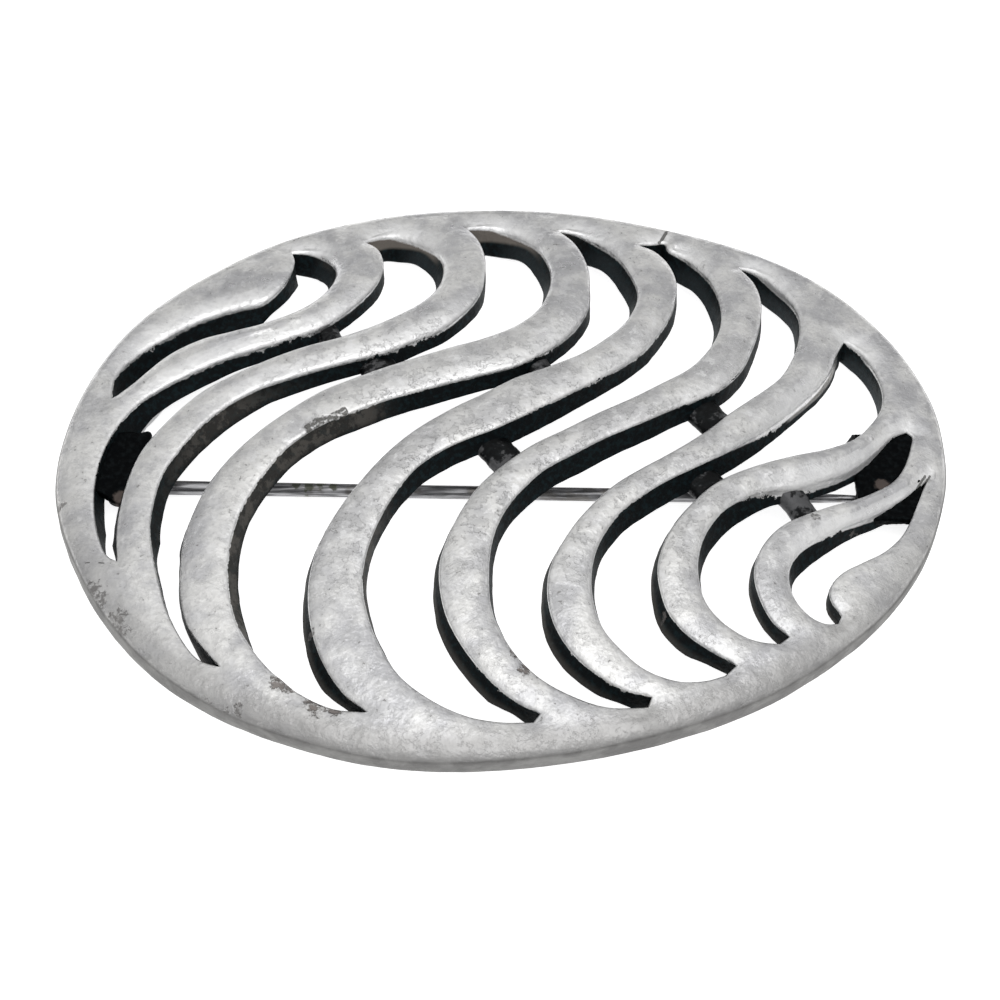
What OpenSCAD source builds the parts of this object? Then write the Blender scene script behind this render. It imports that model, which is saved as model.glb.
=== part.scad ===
// Oval openwork brooch of oxidised silver: a domed rim filled with flowing wave
// bars, and a hinged pin stem across the back. Millimetres, Z up, wave side up,
// the rim's foot on z = 0, the pin lying along X.

/* [Oval plate] */
// how far the dome rises over the rim's upper edge
dome_rise = 3.4; // [2:0.1:6]
// half length of the oval on which the dome stands
dome_half_length = 27.5; // [20:0.1:35]
// half width of the oval on which the dome stands
dome_half_width = 22.3; // [16:0.1:28]
// turn of the oval against the pin, in degrees
oval_turn = 5; // [-15:1:15]
// height of the rim's upper edge over its foot
rim_height = 1.7; // [1:0.1:3]
// thickness of the wave bars
bar_thick = 1.5; // [0.8:0.1:2.5]
// width of the solid band that the rim stands on, at the lower edge
rim_band = 1.3; // [0.8:0.1:2.5]
// width of that band at the upper edge
rim_band_top = 3.5; // [0.8:0.1:5]
// width of that band at the ends of the oval
rim_band_ends = 2.4; // [0.8:0.1:4]
// how far the hollow of the back lies left of the dome, X
hollow_left = 0.3; // [0:0.1:4]
// how far the hollow of the back lies below the dome, Y
hollow_down = 0.8; // [0:0.1:4]
// depth of the line along X that every side wall leans towards
wall_apex = 85; // [40:5:200]
// length of one straight facet on the curves of the pattern
facet = 1.2; // [0.5:0.1:2]

/* [Bridges between the bars] */
// height of a bridge
bridge_h = 1.6; // [1:0.1:2.5]
// depth of a bridge's top under the top of the bars
bridge_drop = 0.35; // [0.1:0.05:1]

/* [Hinge and pin] */
// where the hinge's pivot stands, X
hinge_x = -23.5; // [-26:0.1:-15]
// where the hinge's pivot stands, Y
hinge_y = -0.9; // [-8:0.05:8]
// height of the pin's middle line over the foot
pin_z = 0.65; // [0.4:0.05:2]
// turn of the pin against X, in degrees
pin_turn = -1.2; // [-10:0.1:10]
// length of the stem from the pivot to its point
stem_length = 47.8; // [30:0.1:60]
// diameter of the stem at the hinge
stem_d = 0.9; // [0.6:0.05:1.5]
// diameter of the stem's straight middle
stem_mid_d = 0.84; // [0.5:0.02:1.4]
// where the straight middle starts, from the pivot
stem_mid_at = 16; // [5:0.5:25]
// length of the straight middle
stem_mid_length = 14; // [5:0.5:25]
// diameter of the stem before its point
stem_tip_d = 0.74; // [0.4:0.02:1.2]
// length of the stem's sharp point
point_length = 7; // [1:0.5:10]
// outer diameter of the hinge's knuckles
knuckle_d = 1.2; // [0.8:0.05:2.5]
// width of the stem's own knuckle
knuckle_w = 0.9; // [0.5:0.1:2]
// gap between the stem's knuckle and each lug
knuckle_gap = 0.1; // [0.05:0.01:0.3]
// thickness of each lug
lug_w = 0.6; // [0.4:0.1:1.5]
// diameter of the rivet
rivet_d = 0.5; // [0.3:0.05:1]
// running fit of the knuckle on the rivet, on the radius
rivet_fit = 0.03; // [0.01:0.01:0.1]

/* [Catch] */
// distance of the catch's middle from the pivot
catch_at = 46.6; // [30:0.1:55]
// length of the catch along the pin
catch_length = 1.6; // [0.8:0.1:4]
// inner radius of the hook
catch_in = 0.5; // [0.4:0.02:1]
// outer radius of the hook
catch_out = 0.86; // [0.6:0.02:1.6]
// width of the hook's mouth
catch_mouth = 0.92; // [0.6:0.02:1.6]
// height of the hook's lips over the rim's foot
lip_z = 0.1; // [0.05:0.05:0.5]

/* [Hidden] */
silver = [0.72, 0.72, 0.71];
steel = [0.6, 0.6, 0.62];
shift = [-0.15, 0.12];   // puts the middle of the outline on the Z axis
ball = (pow(dome_half_length, 2) + pow(dome_rise, 2)) / (2 * dome_rise);
squash = dome_half_width / dome_half_length;

// height of the wave side over the foot at a place in the plan
function turned(p) = [p[0] * cos(oval_turn) + p[1] * sin(oval_turn),
                      (p[1] * cos(oval_turn) - p[0] * sin(oval_turn)) / squash];
function top_z(p) = let (q = turned(p)) rim_height + dome_rise - ball
    + sqrt(ball * ball - q[0] * q[0] - q[1] * q[1]);

// a smooth curve through a row of points
function bend(a, b, c, d, t) = 0.5 * (2 * b + (c - a) * t + (2 * a - 5 * b + 4 * c - d) * t * t
    + (3 * b - a - 3 * c + d) * t * t * t);
function curve(p) = let (n = len(p) - 1)
    [for (i = [0 : n - 1])
        let (a = i > 0 ? p[i - 1] : 2 * p[0] - p[1],
             d = i < n - 1 ? p[i + 2] : 2 * p[n] - p[n - 1],
             steps = max(1, round(norm(p[i + 1] - p[i]) / facet)))
        for (s = [0 : steps - 1]) bend(a, p[i], p[i + 1], d, s / steps)];
function gap_loop(g) = let (end = g[0][len(g[0]) - 1])
    concat(curve(g[0]), end == g[1][0] ? [] : [end], curve(g[1]));
function ring(p) = let (n = len(p))
    [for (i = [0 : n - 1]) for (s = [0 : 2])
        bend(p[(i + n - 1) % n], p[i], p[(i + 1) % n], p[(i + 2) % n], s / 3)];

// moves a point of the wave side along its leaning wall to the level z = 0
function foot_point(p) = [p[0], p[1] * wall_apex / (wall_apex + top_z(p))];

// the outline of the oval, x and y of its upper edge
OUTLINE = [
    [27.45, 1.5], [26.8, 5.6], [24.6, 10.5], [20.8, 15.1], [16.0, 18.1], [10.0, 20.2], [4.0, 21.6],
    [-2.0, 21.9], [-8.0, 21.3], [-13.9, 19.4], [-19.0, 16.0], [-22.9, 12.2], [-25.3, 7.9],
    [-26.8, 2.8], [-27.1, -2.2], [-25.6, -7.3], [-22.9, -12.2], [-19.1, -16.4], [-14.1, -19.5],
    [-8.0, -21.6], [-2.0, -22.15], [4.0, -21.55], [10.0, -20.0], [16.0, -17.25], [21.6, -12.8],
    [25.3, -7.7], [27.1, -2.6]];

// the nine gaps, x and y on the wave side: the left edge from top to foot, then the right edge back up
GAPS = [
    [[[-24.2, 5.1], [-24.1, 7.0], [-23.0, 8.8], [-21.0, 10.5], [-19.0, 11.8], [-17.0, 12.5],
      [-15.0, 13.0], [-13.9, 14.3], [-13.4, 15.8], [-13.3, 17.2], [-13.5, 18.2]],
     [[-13.5, 18.2], [-12.2, 18.0], [-11.2, 17.2], [-10.6, 15.8], [-10.7, 14.3], [-11.5, 12.8],
      [-13.0, 11.5], [-15.0, 10.6], [-17.0, 10.1], [-19.0, 9.6], [-21.0, 8.4], [-23.0, 6.2], [-24.2, 5.1]]],
    [[[-8.7, 18.9], [-7.9, 17.9], [-7.5, 16.5], [-7.5, 15.0], [-8.0, 13.4], [-9.3, 11.5], [-11.0, 9.9],
      [-13.0, 9.0], [-15.0, 8.3], [-17.0, 7.6], [-19.0, 6.6], [-21.0, 5.4], [-22.6, 4.0], [-23.8, 2.0],
      [-24.4, 0.0], [-24.6, -2.0], [-24.5, -4.0], [-24.1, -6.0], [-23.5, -7.5], [-22.8, -8.1]],
     [[-22.8, -8.1], [-23.0, -6.0], [-22.9, -4.0], [-22.6, -2.0], [-22.0, 0.0], [-21.0, 1.7],
      [-19.5, 3.6], [-18.0, 5.0], [-16.0, 6.2], [-14.0, 7.2], [-12.0, 8.0], [-10.0, 8.6], [-8.0, 9.5],
      [-6.0, 10.8], [-4.6, 12.1], [-3.8, 13.6], [-3.6, 15.2], [-3.9, 16.7], [-4.7, 18.0], [-5.8, 19.0],
      [-7.2, 19.5], [-8.7, 18.9]]],
    [[[-2.0, 20.0], [-1.3, 18.4], [-0.9, 16.5], [-0.9, 14.5], [-1.1, 12.6], [-1.9, 10.9], [-3.3, 9.2],
      [-5.0, 8.1], [-7.0, 7.0], [-9.0, 6.4], [-11.0, 5.8], [-13.0, 5.1], [-15.0, 4.3], [-17.0, 2.9],
      [-18.5, 1.3], [-19.6, -0.4], [-20.4, -2.0], [-20.8, -4.0], [-20.9, -6.0], [-20.6, -8.0],
      [-20.1, -10.0], [-19.5, -12.0], [-18.5, -14.0], [-17.5, -15.3], [-16.2, -15.9]],
     [[-16.2, -15.9], [-17.2, -14.7], [-18.3, -13.0], [-18.8, -11.0], [-18.9, -9.0], [-18.8, -7.0],
      [-18.3, -5.0], [-17.5, -3.0], [-16.2, -1.0], [-14.7, 0.7], [-13.0, 2.2], [-11.0, 3.7],
      [-9.0, 4.7], [-7.0, 5.6], [-5.0, 6.4], [-3.0, 7.2], [-1.0, 8.0], [1.0, 9.2], [2.4, 10.8],
      [3.1, 12.6], [3.3, 14.4], [3.0, 16.2], [2.3, 18.0], [1.1, 19.3], [-0.4, 20.1], [-2.0, 20.0]]],
    [[[4.0, 19.7], [4.9, 18.3], [5.5, 16.6], [5.8, 14.8], [5.8, 12.8], [5.7, 11.0], [5.1, 9.4],
      [4.0, 7.8], [2.5, 6.4], [1.0, 5.4], [-1.0, 4.7], [-3.0, 4.0], [-5.0, 3.3], [-7.0, 2.6],
      [-9.0, 1.7], [-11.0, 0.7], [-12.7, -0.7], [-13.8, -2.2], [-14.8, -4.0], [-15.5, -5.7],
      [-15.9, -7.5], [-16.0, -9.5], [-15.8, -11.4], [-15.3, -13.2], [-14.3, -15.0], [-13.0, -16.6],
      [-11.5, -17.9], [-9.6, -18.9], [-7.6, -19.2]],
     [[-7.6, -19.2], [-9.0, -18.0], [-10.2, -16.1], [-10.9, -14.1], [-11.2, -12.0], [-11.1, -10.0],
      [-10.6, -8.0], [-9.7, -6.0], [-8.5, -4.0], [-7.0, -1.9], [-5.2, 0.0], [-3.0, 1.7], [-1.0, 3.0],
      [1.0, 4.4], [3.0, 5.4], [5.0, 6.6], [6.5, 8.0], [7.8, 9.6], [8.6, 11.4], [8.8, 13.0],
      [8.4, 14.9], [7.6, 17.0], [6.4, 18.6], [5.1, 19.5], [4.0, 19.7]]],
    [[[9.1, 18.4], [10.2, 17.6], [11.0, 16.2], [11.4, 14.4], [11.3, 12.4], [10.9, 10.6], [10.1, 8.8],
      [9.1, 7.1], [8.0, 5.9], [6.5, 4.6], [5.0, 3.5], [3.0, 2.1], [1.0, 0.8], [-0.5, -0.1],
      [-2.0, -0.8], [-3.5, -1.7], [-5.0, -3.0], [-6.3, -5.0], [-7.2, -7.0], [-7.8, -9.0],
      [-8.0, -11.0], [-7.7, -13.0], [-7.0, -15.0], [-5.8, -17.0], [-4.0, -18.5], [-2.0, -19.5],
      [0.0, -19.9], [1.9, -19.9]],
     [[2.3, -19.4], [1.2, -18.9], [0.0, -18.0], [-1.2, -16.7], [-2.3, -15.1], [-3.1, -13.4],
      [-3.5, -11.5], [-3.5, -9.7], [-3.0, -7.9], [-2.2, -6.0], [-1.1, -4.2], [0.3, -2.7], [2.0, -1.2],
      [4.0, 0.1], [6.0, 1.5], [8.0, 2.8], [10.0, 4.3], [11.8, 5.8], [13.0, 7.5], [13.8, 9.3],
      [14.1, 11.0], [14.0, 12.8], [13.6, 14.6], [12.9, 16.1], [12.0, 17.3], [11.0, 18.0],
      [10.8, 18.8], [10.2, 18.6], [9.1, 18.4]]],
    [[[15.7, 16.4], [16.5, 14.8], [16.8, 13.0], [16.7, 11.2], [16.4, 9.6], [15.9, 7.9], [15.2, 6.1],
      [14.0, 4.4], [12.5, 3.2], [10.5, 2.0], [8.5, 0.7], [6.5, -0.5], [4.5, -1.9], [2.8, -3.1],
      [1.6, -4.4], [0.6, -5.8], [-0.1, -7.3], [-0.5, -9.0], [-0.6, -10.8], [-0.5, -12.6],
      [0.0, -14.2], [1.0, -15.9], [2.4, -17.3], [4.2, -18.3], [6.2, -18.9], [8.5, -18.8]],
     [[8.7, -18.2], [7.2, -17.9], [5.6, -17.0], [4.2, -15.7], [3.2, -14.0], [2.8, -12.2],
      [2.9, -10.4], [3.5, -8.8], [4.5, -7.0], [5.7, -5.4], [7.0, -4.0], [8.5, -2.8], [10.0, -1.7],
      [11.5, -0.5], [12.9, 0.8], [14.0, 2.0], [15.3, 3.3], [16.5, 4.5], [17.5, 5.7], [18.2, 7.1],
      [18.8, 8.8], [19.1, 10.6], [19.0, 12.2], [18.5, 13.7], [17.7, 15.0], [16.8, 16.1], [15.7, 16.4]]],
    [[[21.9, 9.8], [21.4, 8.6], [20.9, 6.9], [20.0, 5.2], [18.7, 3.5], [17.2, 1.8], [15.5, 0.2],
      [13.7, -1.2], [11.8, -2.5], [10.0, -3.7], [8.4, -5.0], [7.2, -6.2], [6.3, -7.6], [5.7, -9.0],
      [5.4, -10.7], [5.5, -12.4], [6.0, -14.0], [7.0, -15.3], [8.4, -16.5], [10.2, -17.1],
      [11.8, -17.0], [13.0, -16.6]],
     [[13.7, -15.9], [12.5, -15.3], [11.0, -14.3], [9.9, -13.0], [9.4, -11.4], [9.3, -9.8],
      [9.7, -8.2], [10.4, -6.7], [11.4, -5.3], [12.6, -3.9], [14.0, -2.8], [16.0, -1.7], [18.0, -0.8],
      [20.0, 0.0], [21.8, 1.1], [23.0, 2.6], [23.8, 4.2], [23.9, 5.9], [23.5, 7.7], [22.8, 9.0],
      [21.9, 9.8]]],
    [[[25.2, 2.3], [24.4, 1.8], [23.5, 0.6], [22.4, -0.7], [21.0, -1.9], [19.5, -2.7], [18.0, -3.4],
      [16.3, -3.8], [14.8, -4.5], [13.5, -5.5], [12.5, -6.9], [11.9, -8.4], [11.7, -10.0],
      [12.0, -11.8], [12.9, -13.1], [14.2, -14.0], [15.3, -14.3], [16.3, -14.3]],
     [[16.9, -13.8], [16.0, -13.0], [15.3, -11.6], [15.0, -10.0], [15.3, -8.5], [16.1, -7.1],
      [17.2, -6.0], [18.5, -5.2], [20.0, -4.4], [21.5, -3.7], [22.8, -2.9], [24.0, -1.9],
      [24.8, -0.6], [25.3, 0.9], [25.5, 2.0], [25.2, 2.3]]],
    [[[26.1, -1.5], [25.2, -2.6], [24.0, -3.8], [22.5, -4.9], [21.0, -5.8], [19.5, -6.8],
      [18.2, -7.8], [17.4, -8.8], [17.1, -10.0], [17.4, -11.3], [18.2, -12.3], [19.1, -12.7],
      [19.9, -12.6]],
     [[20.1, -12.1], [19.5, -11.1], [19.6, -10.1], [20.4, -9.1], [21.7, -8.2], [23.0, -7.3],
      [24.1, -6.1], [24.8, -4.8], [25.3, -3.5], [25.8, -2.2], [26.1, -1.5]]]];

// the bridges in the gaps: x, y, direction in degrees, length, width
BRIDGES = [[-10.6, 9.4, -65, 2.6, 1.6], [-7.4, 6.2, -65, 3, 2.6], [2.6, 5.7, -60, 3, 2],
           [0.1, -1.1, -55, 4.4, 2.4], [13.2, 2.2, -52, 4.4, 2.4], [12.6, -3.0, -50, 3.2, 2.6],
           [18.2, -4.1, -60, 3.4, 1.9], [22.3, 2.0, -40, 1.2, 1.3]];

module openwork_plate() color(silver) {
    difference() {
        union() {
            translate(concat(shift, 0)) difference() {
                intersection() {
                    outline_block([0, 0], [0, 0]);
                    dome(0);
                }
                intersection() {
                    outline_block([rim_band_ends, (rim_band + rim_band_top) / 2],
                                  [0.15, (rim_band - rim_band_top) / 2]);
                    translate([-hollow_left, -hollow_down]) dome(-bar_thick);
                }
                for (g = GAPS) gap_cutter(g);
            }
            translate(concat(shift, 0)) for (b = BRIDGES) bridge(b);
            hinge_base();
            hinge_frame() for (s = [-1, 1]) lug(s);
            catch_base();
            hinge_frame() catch_hook();
        }
        hinge_frame() rotate([90, 0, 0]) cylinder(d = rivet_d + 0.02, h = 8, center = true, $fn = 48);
    }
}

// the space under the wave side, lowered by a thickness
module dome(level)
    rotate([0, 0, oval_turn])
        translate([0, 0, rim_height + dome_rise - ball + level])
            scale([1, squash, 1]) rotate([90, 0, 0]) sphere(r = ball, $fn = 240);

// the oval as a leaning block, drawn in by two margins and moved aside
module outline_block(margin, aside) {
    top = 8;
    kx = 1 - margin[0] / dome_half_length;
    ky = 1 - margin[1] / dome_half_width;
    linear_extrude(height = top, scale = [1, (wall_apex + top) / wall_apex], slices = 1)
        polygon([for (p = ring(OUTLINE)) let (q = foot_point(p)) [kx * q[0], ky * q[1]] + aside]);
}

// one gap, cut right through
module gap_cutter(g)
    translate([0, 0, -1])
        linear_extrude(height = 9, scale = [1, (wall_apex + 8) / (wall_apex - 1)], slices = 1)
            polygon([for (p = gap_loop(g)) let (q = foot_point(p))
                [q[0], q[1] * (wall_apex - 1) / wall_apex]]);

module bridge(b)
    translate([b[0], b[1], top_z([b[0], b[1]]) - bridge_drop - bridge_h / 2])
        rotate([0, 0, b[2]]) scale([1, b[4] / bridge_h, 1]) rotate([0, 90, 0])
            cylinder(d = bridge_h, h = b[3], center = true, $fn = 32);

// everything on the pin's line: the pivot at the origin, the stem along +X
module hinge_frame()
    translate([hinge_x, hinge_y, pin_z]) rotate([0, 0, pin_turn]) children();

// web soldered across the gap over the hinge
module hinge_base()
    translate([hinge_x - 1.4, hinge_y - 2, 1.4]) cube([3.2, 5.5, 0.5]);

module lug(s)
    translate([0, s * (knuckle_w / 2 + knuckle_gap + lug_w / 2), 0]) {
        rotate([90, 0, 0]) cylinder(d = knuckle_d, h = lug_w, center = true, $fn = 48);
        translate([-knuckle_d / 2, -lug_w / 2, 0]) cube([knuckle_d, lug_w, 1]);
    }

// web soldered across the gaps over the catch
module catch_base()
    translate([21.6, -4.5, 1.25]) cube([4, 6.9, 0.6]);

// hook round the stem, its mouth downwards
module catch_hook()
    translate([catch_at, 0, 0]) rotate([90, 0, 90])
        linear_extrude(height = catch_length, center = true) difference() {
            circle(r = catch_out, $fn = 48);
            circle(r = catch_in, $fn = 48);
            translate([-catch_mouth / 2, -2]) square([catch_mouth, 2]);
            translate([-1, -2]) square([2, 2 - pin_z + lip_z]);
        }

// rivet through the two lugs and the stem's knuckle
module hinge_rivet() color(steel) hinge_frame()
    rotate([90, 0, 0])
        cylinder(d = rivet_d, h = knuckle_w + 2 * (knuckle_gap + lug_w), center = true, $fn = 48);

// the stem: knuckle, wire with a straight middle, and sharp point
module pin_stem() color(steel) hinge_frame()
    difference() {
        union() {
            rotate([90, 0, 0]) cylinder(d = knuckle_d, h = knuckle_w, center = true, $fn = 48);
            rotate([0, 90, 0]) {
                cylinder(d1 = stem_d, d2 = stem_mid_d, h = stem_mid_at, $fn = 32);
                translate([0, 0, stem_mid_at]) cylinder(d = stem_mid_d, h = stem_mid_length, $fn = 32);
                translate([0, 0, stem_mid_at + stem_mid_length])
                    cylinder(d1 = stem_mid_d, d2 = stem_tip_d,
                             h = stem_length - point_length - stem_mid_at - stem_mid_length, $fn = 32);
                translate([0, 0, stem_length - point_length])
                    cylinder(d1 = stem_tip_d, d2 = 0.15, h = point_length, $fn = 32);
            }
        }
        rotate([90, 0, 0]) cylinder(d = rivet_d + 2 * rivet_fit, h = 4, center = true, $fn = 48);
    }

openwork_plate();
hinge_rivet();
pin_stem();
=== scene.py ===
# %% [markdown]
# # An oval openwork brooch
# The real thing is a domed oval of worn silver: a rim, eight wave bars that flow from the top of the rim to
# its foot, and nine gaps cut right through between them. Small cast bridges hold the bars apart, and a
# steel pin lies hinged across the back. The solids come from the CAD frame. This lesson gives each of them
# the rounded edges, the rough walls and the finish that the plain solids lack.

# %% Load the frame
import math

import bmesh
import bpy
import numpy as np
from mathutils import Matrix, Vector, noise
from mathutils.geometry import delaunay_2d_cdt
from mathutils.kdtree import KDTree


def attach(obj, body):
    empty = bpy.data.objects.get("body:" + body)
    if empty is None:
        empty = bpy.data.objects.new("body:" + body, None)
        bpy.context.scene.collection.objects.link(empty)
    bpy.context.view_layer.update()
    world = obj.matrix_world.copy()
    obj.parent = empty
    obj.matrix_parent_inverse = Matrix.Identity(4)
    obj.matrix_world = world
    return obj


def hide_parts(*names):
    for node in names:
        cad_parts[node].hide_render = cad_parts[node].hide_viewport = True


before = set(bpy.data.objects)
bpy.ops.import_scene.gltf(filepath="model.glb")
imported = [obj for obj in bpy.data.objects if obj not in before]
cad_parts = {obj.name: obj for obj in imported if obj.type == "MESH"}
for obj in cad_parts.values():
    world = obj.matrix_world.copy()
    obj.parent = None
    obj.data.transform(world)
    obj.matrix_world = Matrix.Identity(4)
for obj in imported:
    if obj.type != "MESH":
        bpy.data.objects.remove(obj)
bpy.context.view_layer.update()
MM = 0.001
bpy.ops.object.select_all(action="DESELECT")

# %% [markdown]
# ## The camera
# The photo looks down on the brooch from the front, about half way between level and overhead, through a
# long lens. A camera is an object with a place and a turn. Instead of typing three angles, the turn is
# worked out from the line between the camera and the point it looks at, which can't go wrong when one of
# them moves.

# %% Place the camera
CAMERA_AT = Vector((-0.12, -117.73, 138.63)) * MM
LOOKS_AT = Vector((-0.12, -2.83, 1.7)) * MM
LENS, SENSOR = 105.8, 36
NEAREST, FARTHEST = 0.01, 10


def turn_towards(start, target):
    """The rotation that points an object's -Z from start to target."""
    return (target - start).to_track_quat("-Z", "Y").to_euler()


bpy.ops.object.camera_add(location=CAMERA_AT, rotation=turn_towards(CAMERA_AT, LOOKS_AT))
camera = bpy.context.object
camera.name = "product_camera"
camera.data.lens = LENS
camera.data.sensor_width = SENSOR
camera.data.clip_start = NEAREST
camera.data.clip_end = FARTHEST
bpy.context.scene.camera = camera
print("camera distance in mm:", round((CAMERA_AT - LOOKS_AT).length / MM, 1))

# %% [markdown]
# ## The studio's walls and ceiling
# Silver has no colour of its own to speak of: it shows the room. The lower half of the dome mirrors what is
# overhead and looks bright, and the upper half mirrors the wall behind and looks grey. So the room is built
# as a soft gradient in the world, from grey walls to a light ceiling.

# %% Build the room
WALL_GREY, WALL_TOP = 0.45, 0.3
CEILING_WHITE, CEILING_FROM = 0.8, 0.85


def add_node(tree, kind, **values):
    """A new node with its properties and its sockets' values set by name."""
    node = tree.nodes.new(kind)
    for name, value in values.items():
        if name in node.inputs:
            node.inputs[name].default_value = value
        else:
            setattr(node, name, value)
    return node


def make_world():
    world = bpy.data.worlds.new("studio_room")
    bpy.context.scene.world = world
    world.use_nodes = True
    tree = world.node_tree
    tree.nodes.clear()
    place = add_node(tree, "ShaderNodeTexCoord")
    split = add_node(tree, "ShaderNodeSeparateXYZ")
    ramp = add_node(tree, "ShaderNodeValToRGB")
    light = add_node(tree, "ShaderNodeBackground", Strength=1.0)
    out = add_node(tree, "ShaderNodeOutputWorld")
    ramp.color_ramp.interpolation = "EASE"
    steps = ((WALL_TOP, WALL_GREY), (CEILING_FROM, CEILING_WHITE))
    for element, (height, grey) in zip(ramp.color_ramp.elements, steps):
        element.position = height
        element.color = (grey, grey, grey, 1)
    tree.links.new(place.outputs["Generated"], split.inputs["Vector"])
    tree.links.new(split.outputs["Z"], ramp.inputs["Fac"])
    tree.links.new(ramp.outputs["Color"], light.inputs["Color"])
    tree.links.new(light.outputs["Background"], out.inputs["Surface"])
    return world


print("world:", make_world().name)

# %% [markdown]
# ## Floor and lamp
# The floor is a pale sheet that glows, like the light table that such a photo is taken on, so the gaps
# read as clean white. One wide soft box hangs overhead. A small lamp would draw hard bright dots on
# the silver, and a wide one draws the soft sheen of the photo.

# %% Lay the floor and hang the soft box
FLOOR_SIZE = 3
FLOOR_LOOK = {"Base Color": (0.9, 0.9, 0.9, 1), "Roughness": 0.8, "Specular IOR Level": 0.1,
              "Emission Color": (1, 1, 1, 1), "Emission Strength": 0.8}
LAMP_AT = Vector((0.05, -0.12, 0.55))
LAMP_SIZE = 0.45
LAMP_POWER = 0.5


def make_floor():
    bpy.ops.mesh.primitive_plane_add(size=FLOOR_SIZE, location=(0, 0, 0))
    floor = bpy.context.object
    floor.name = "pale_floor"
    mat = bpy.data.materials.new("pale_floor")
    mat.use_nodes = True
    for name, value in FLOOR_LOOK.items():
        mat.node_tree.nodes["Principled BSDF"].inputs[name].default_value = value
    floor.data.materials.append(mat)
    return floor


def soft_box(name, place, target, size, power):
    """A square soft light that faces a point."""
    bpy.ops.object.light_add(type="AREA", location=place, rotation=turn_towards(place, target))
    lamp = bpy.context.object
    lamp.name = name
    lamp.data.shape = "SQUARE"
    lamp.data.size = size
    lamp.data.energy = power
    return lamp


floor = make_floor()
lamp = soft_box("soft_box_overhead", LAMP_AT, Vector((0, 0, 0)), LAMP_SIZE, LAMP_POWER)
bpy.context.scene.view_settings.view_transform = "Standard"
print("floor:", floor.name, "lamp:", lamp.name)
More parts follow.
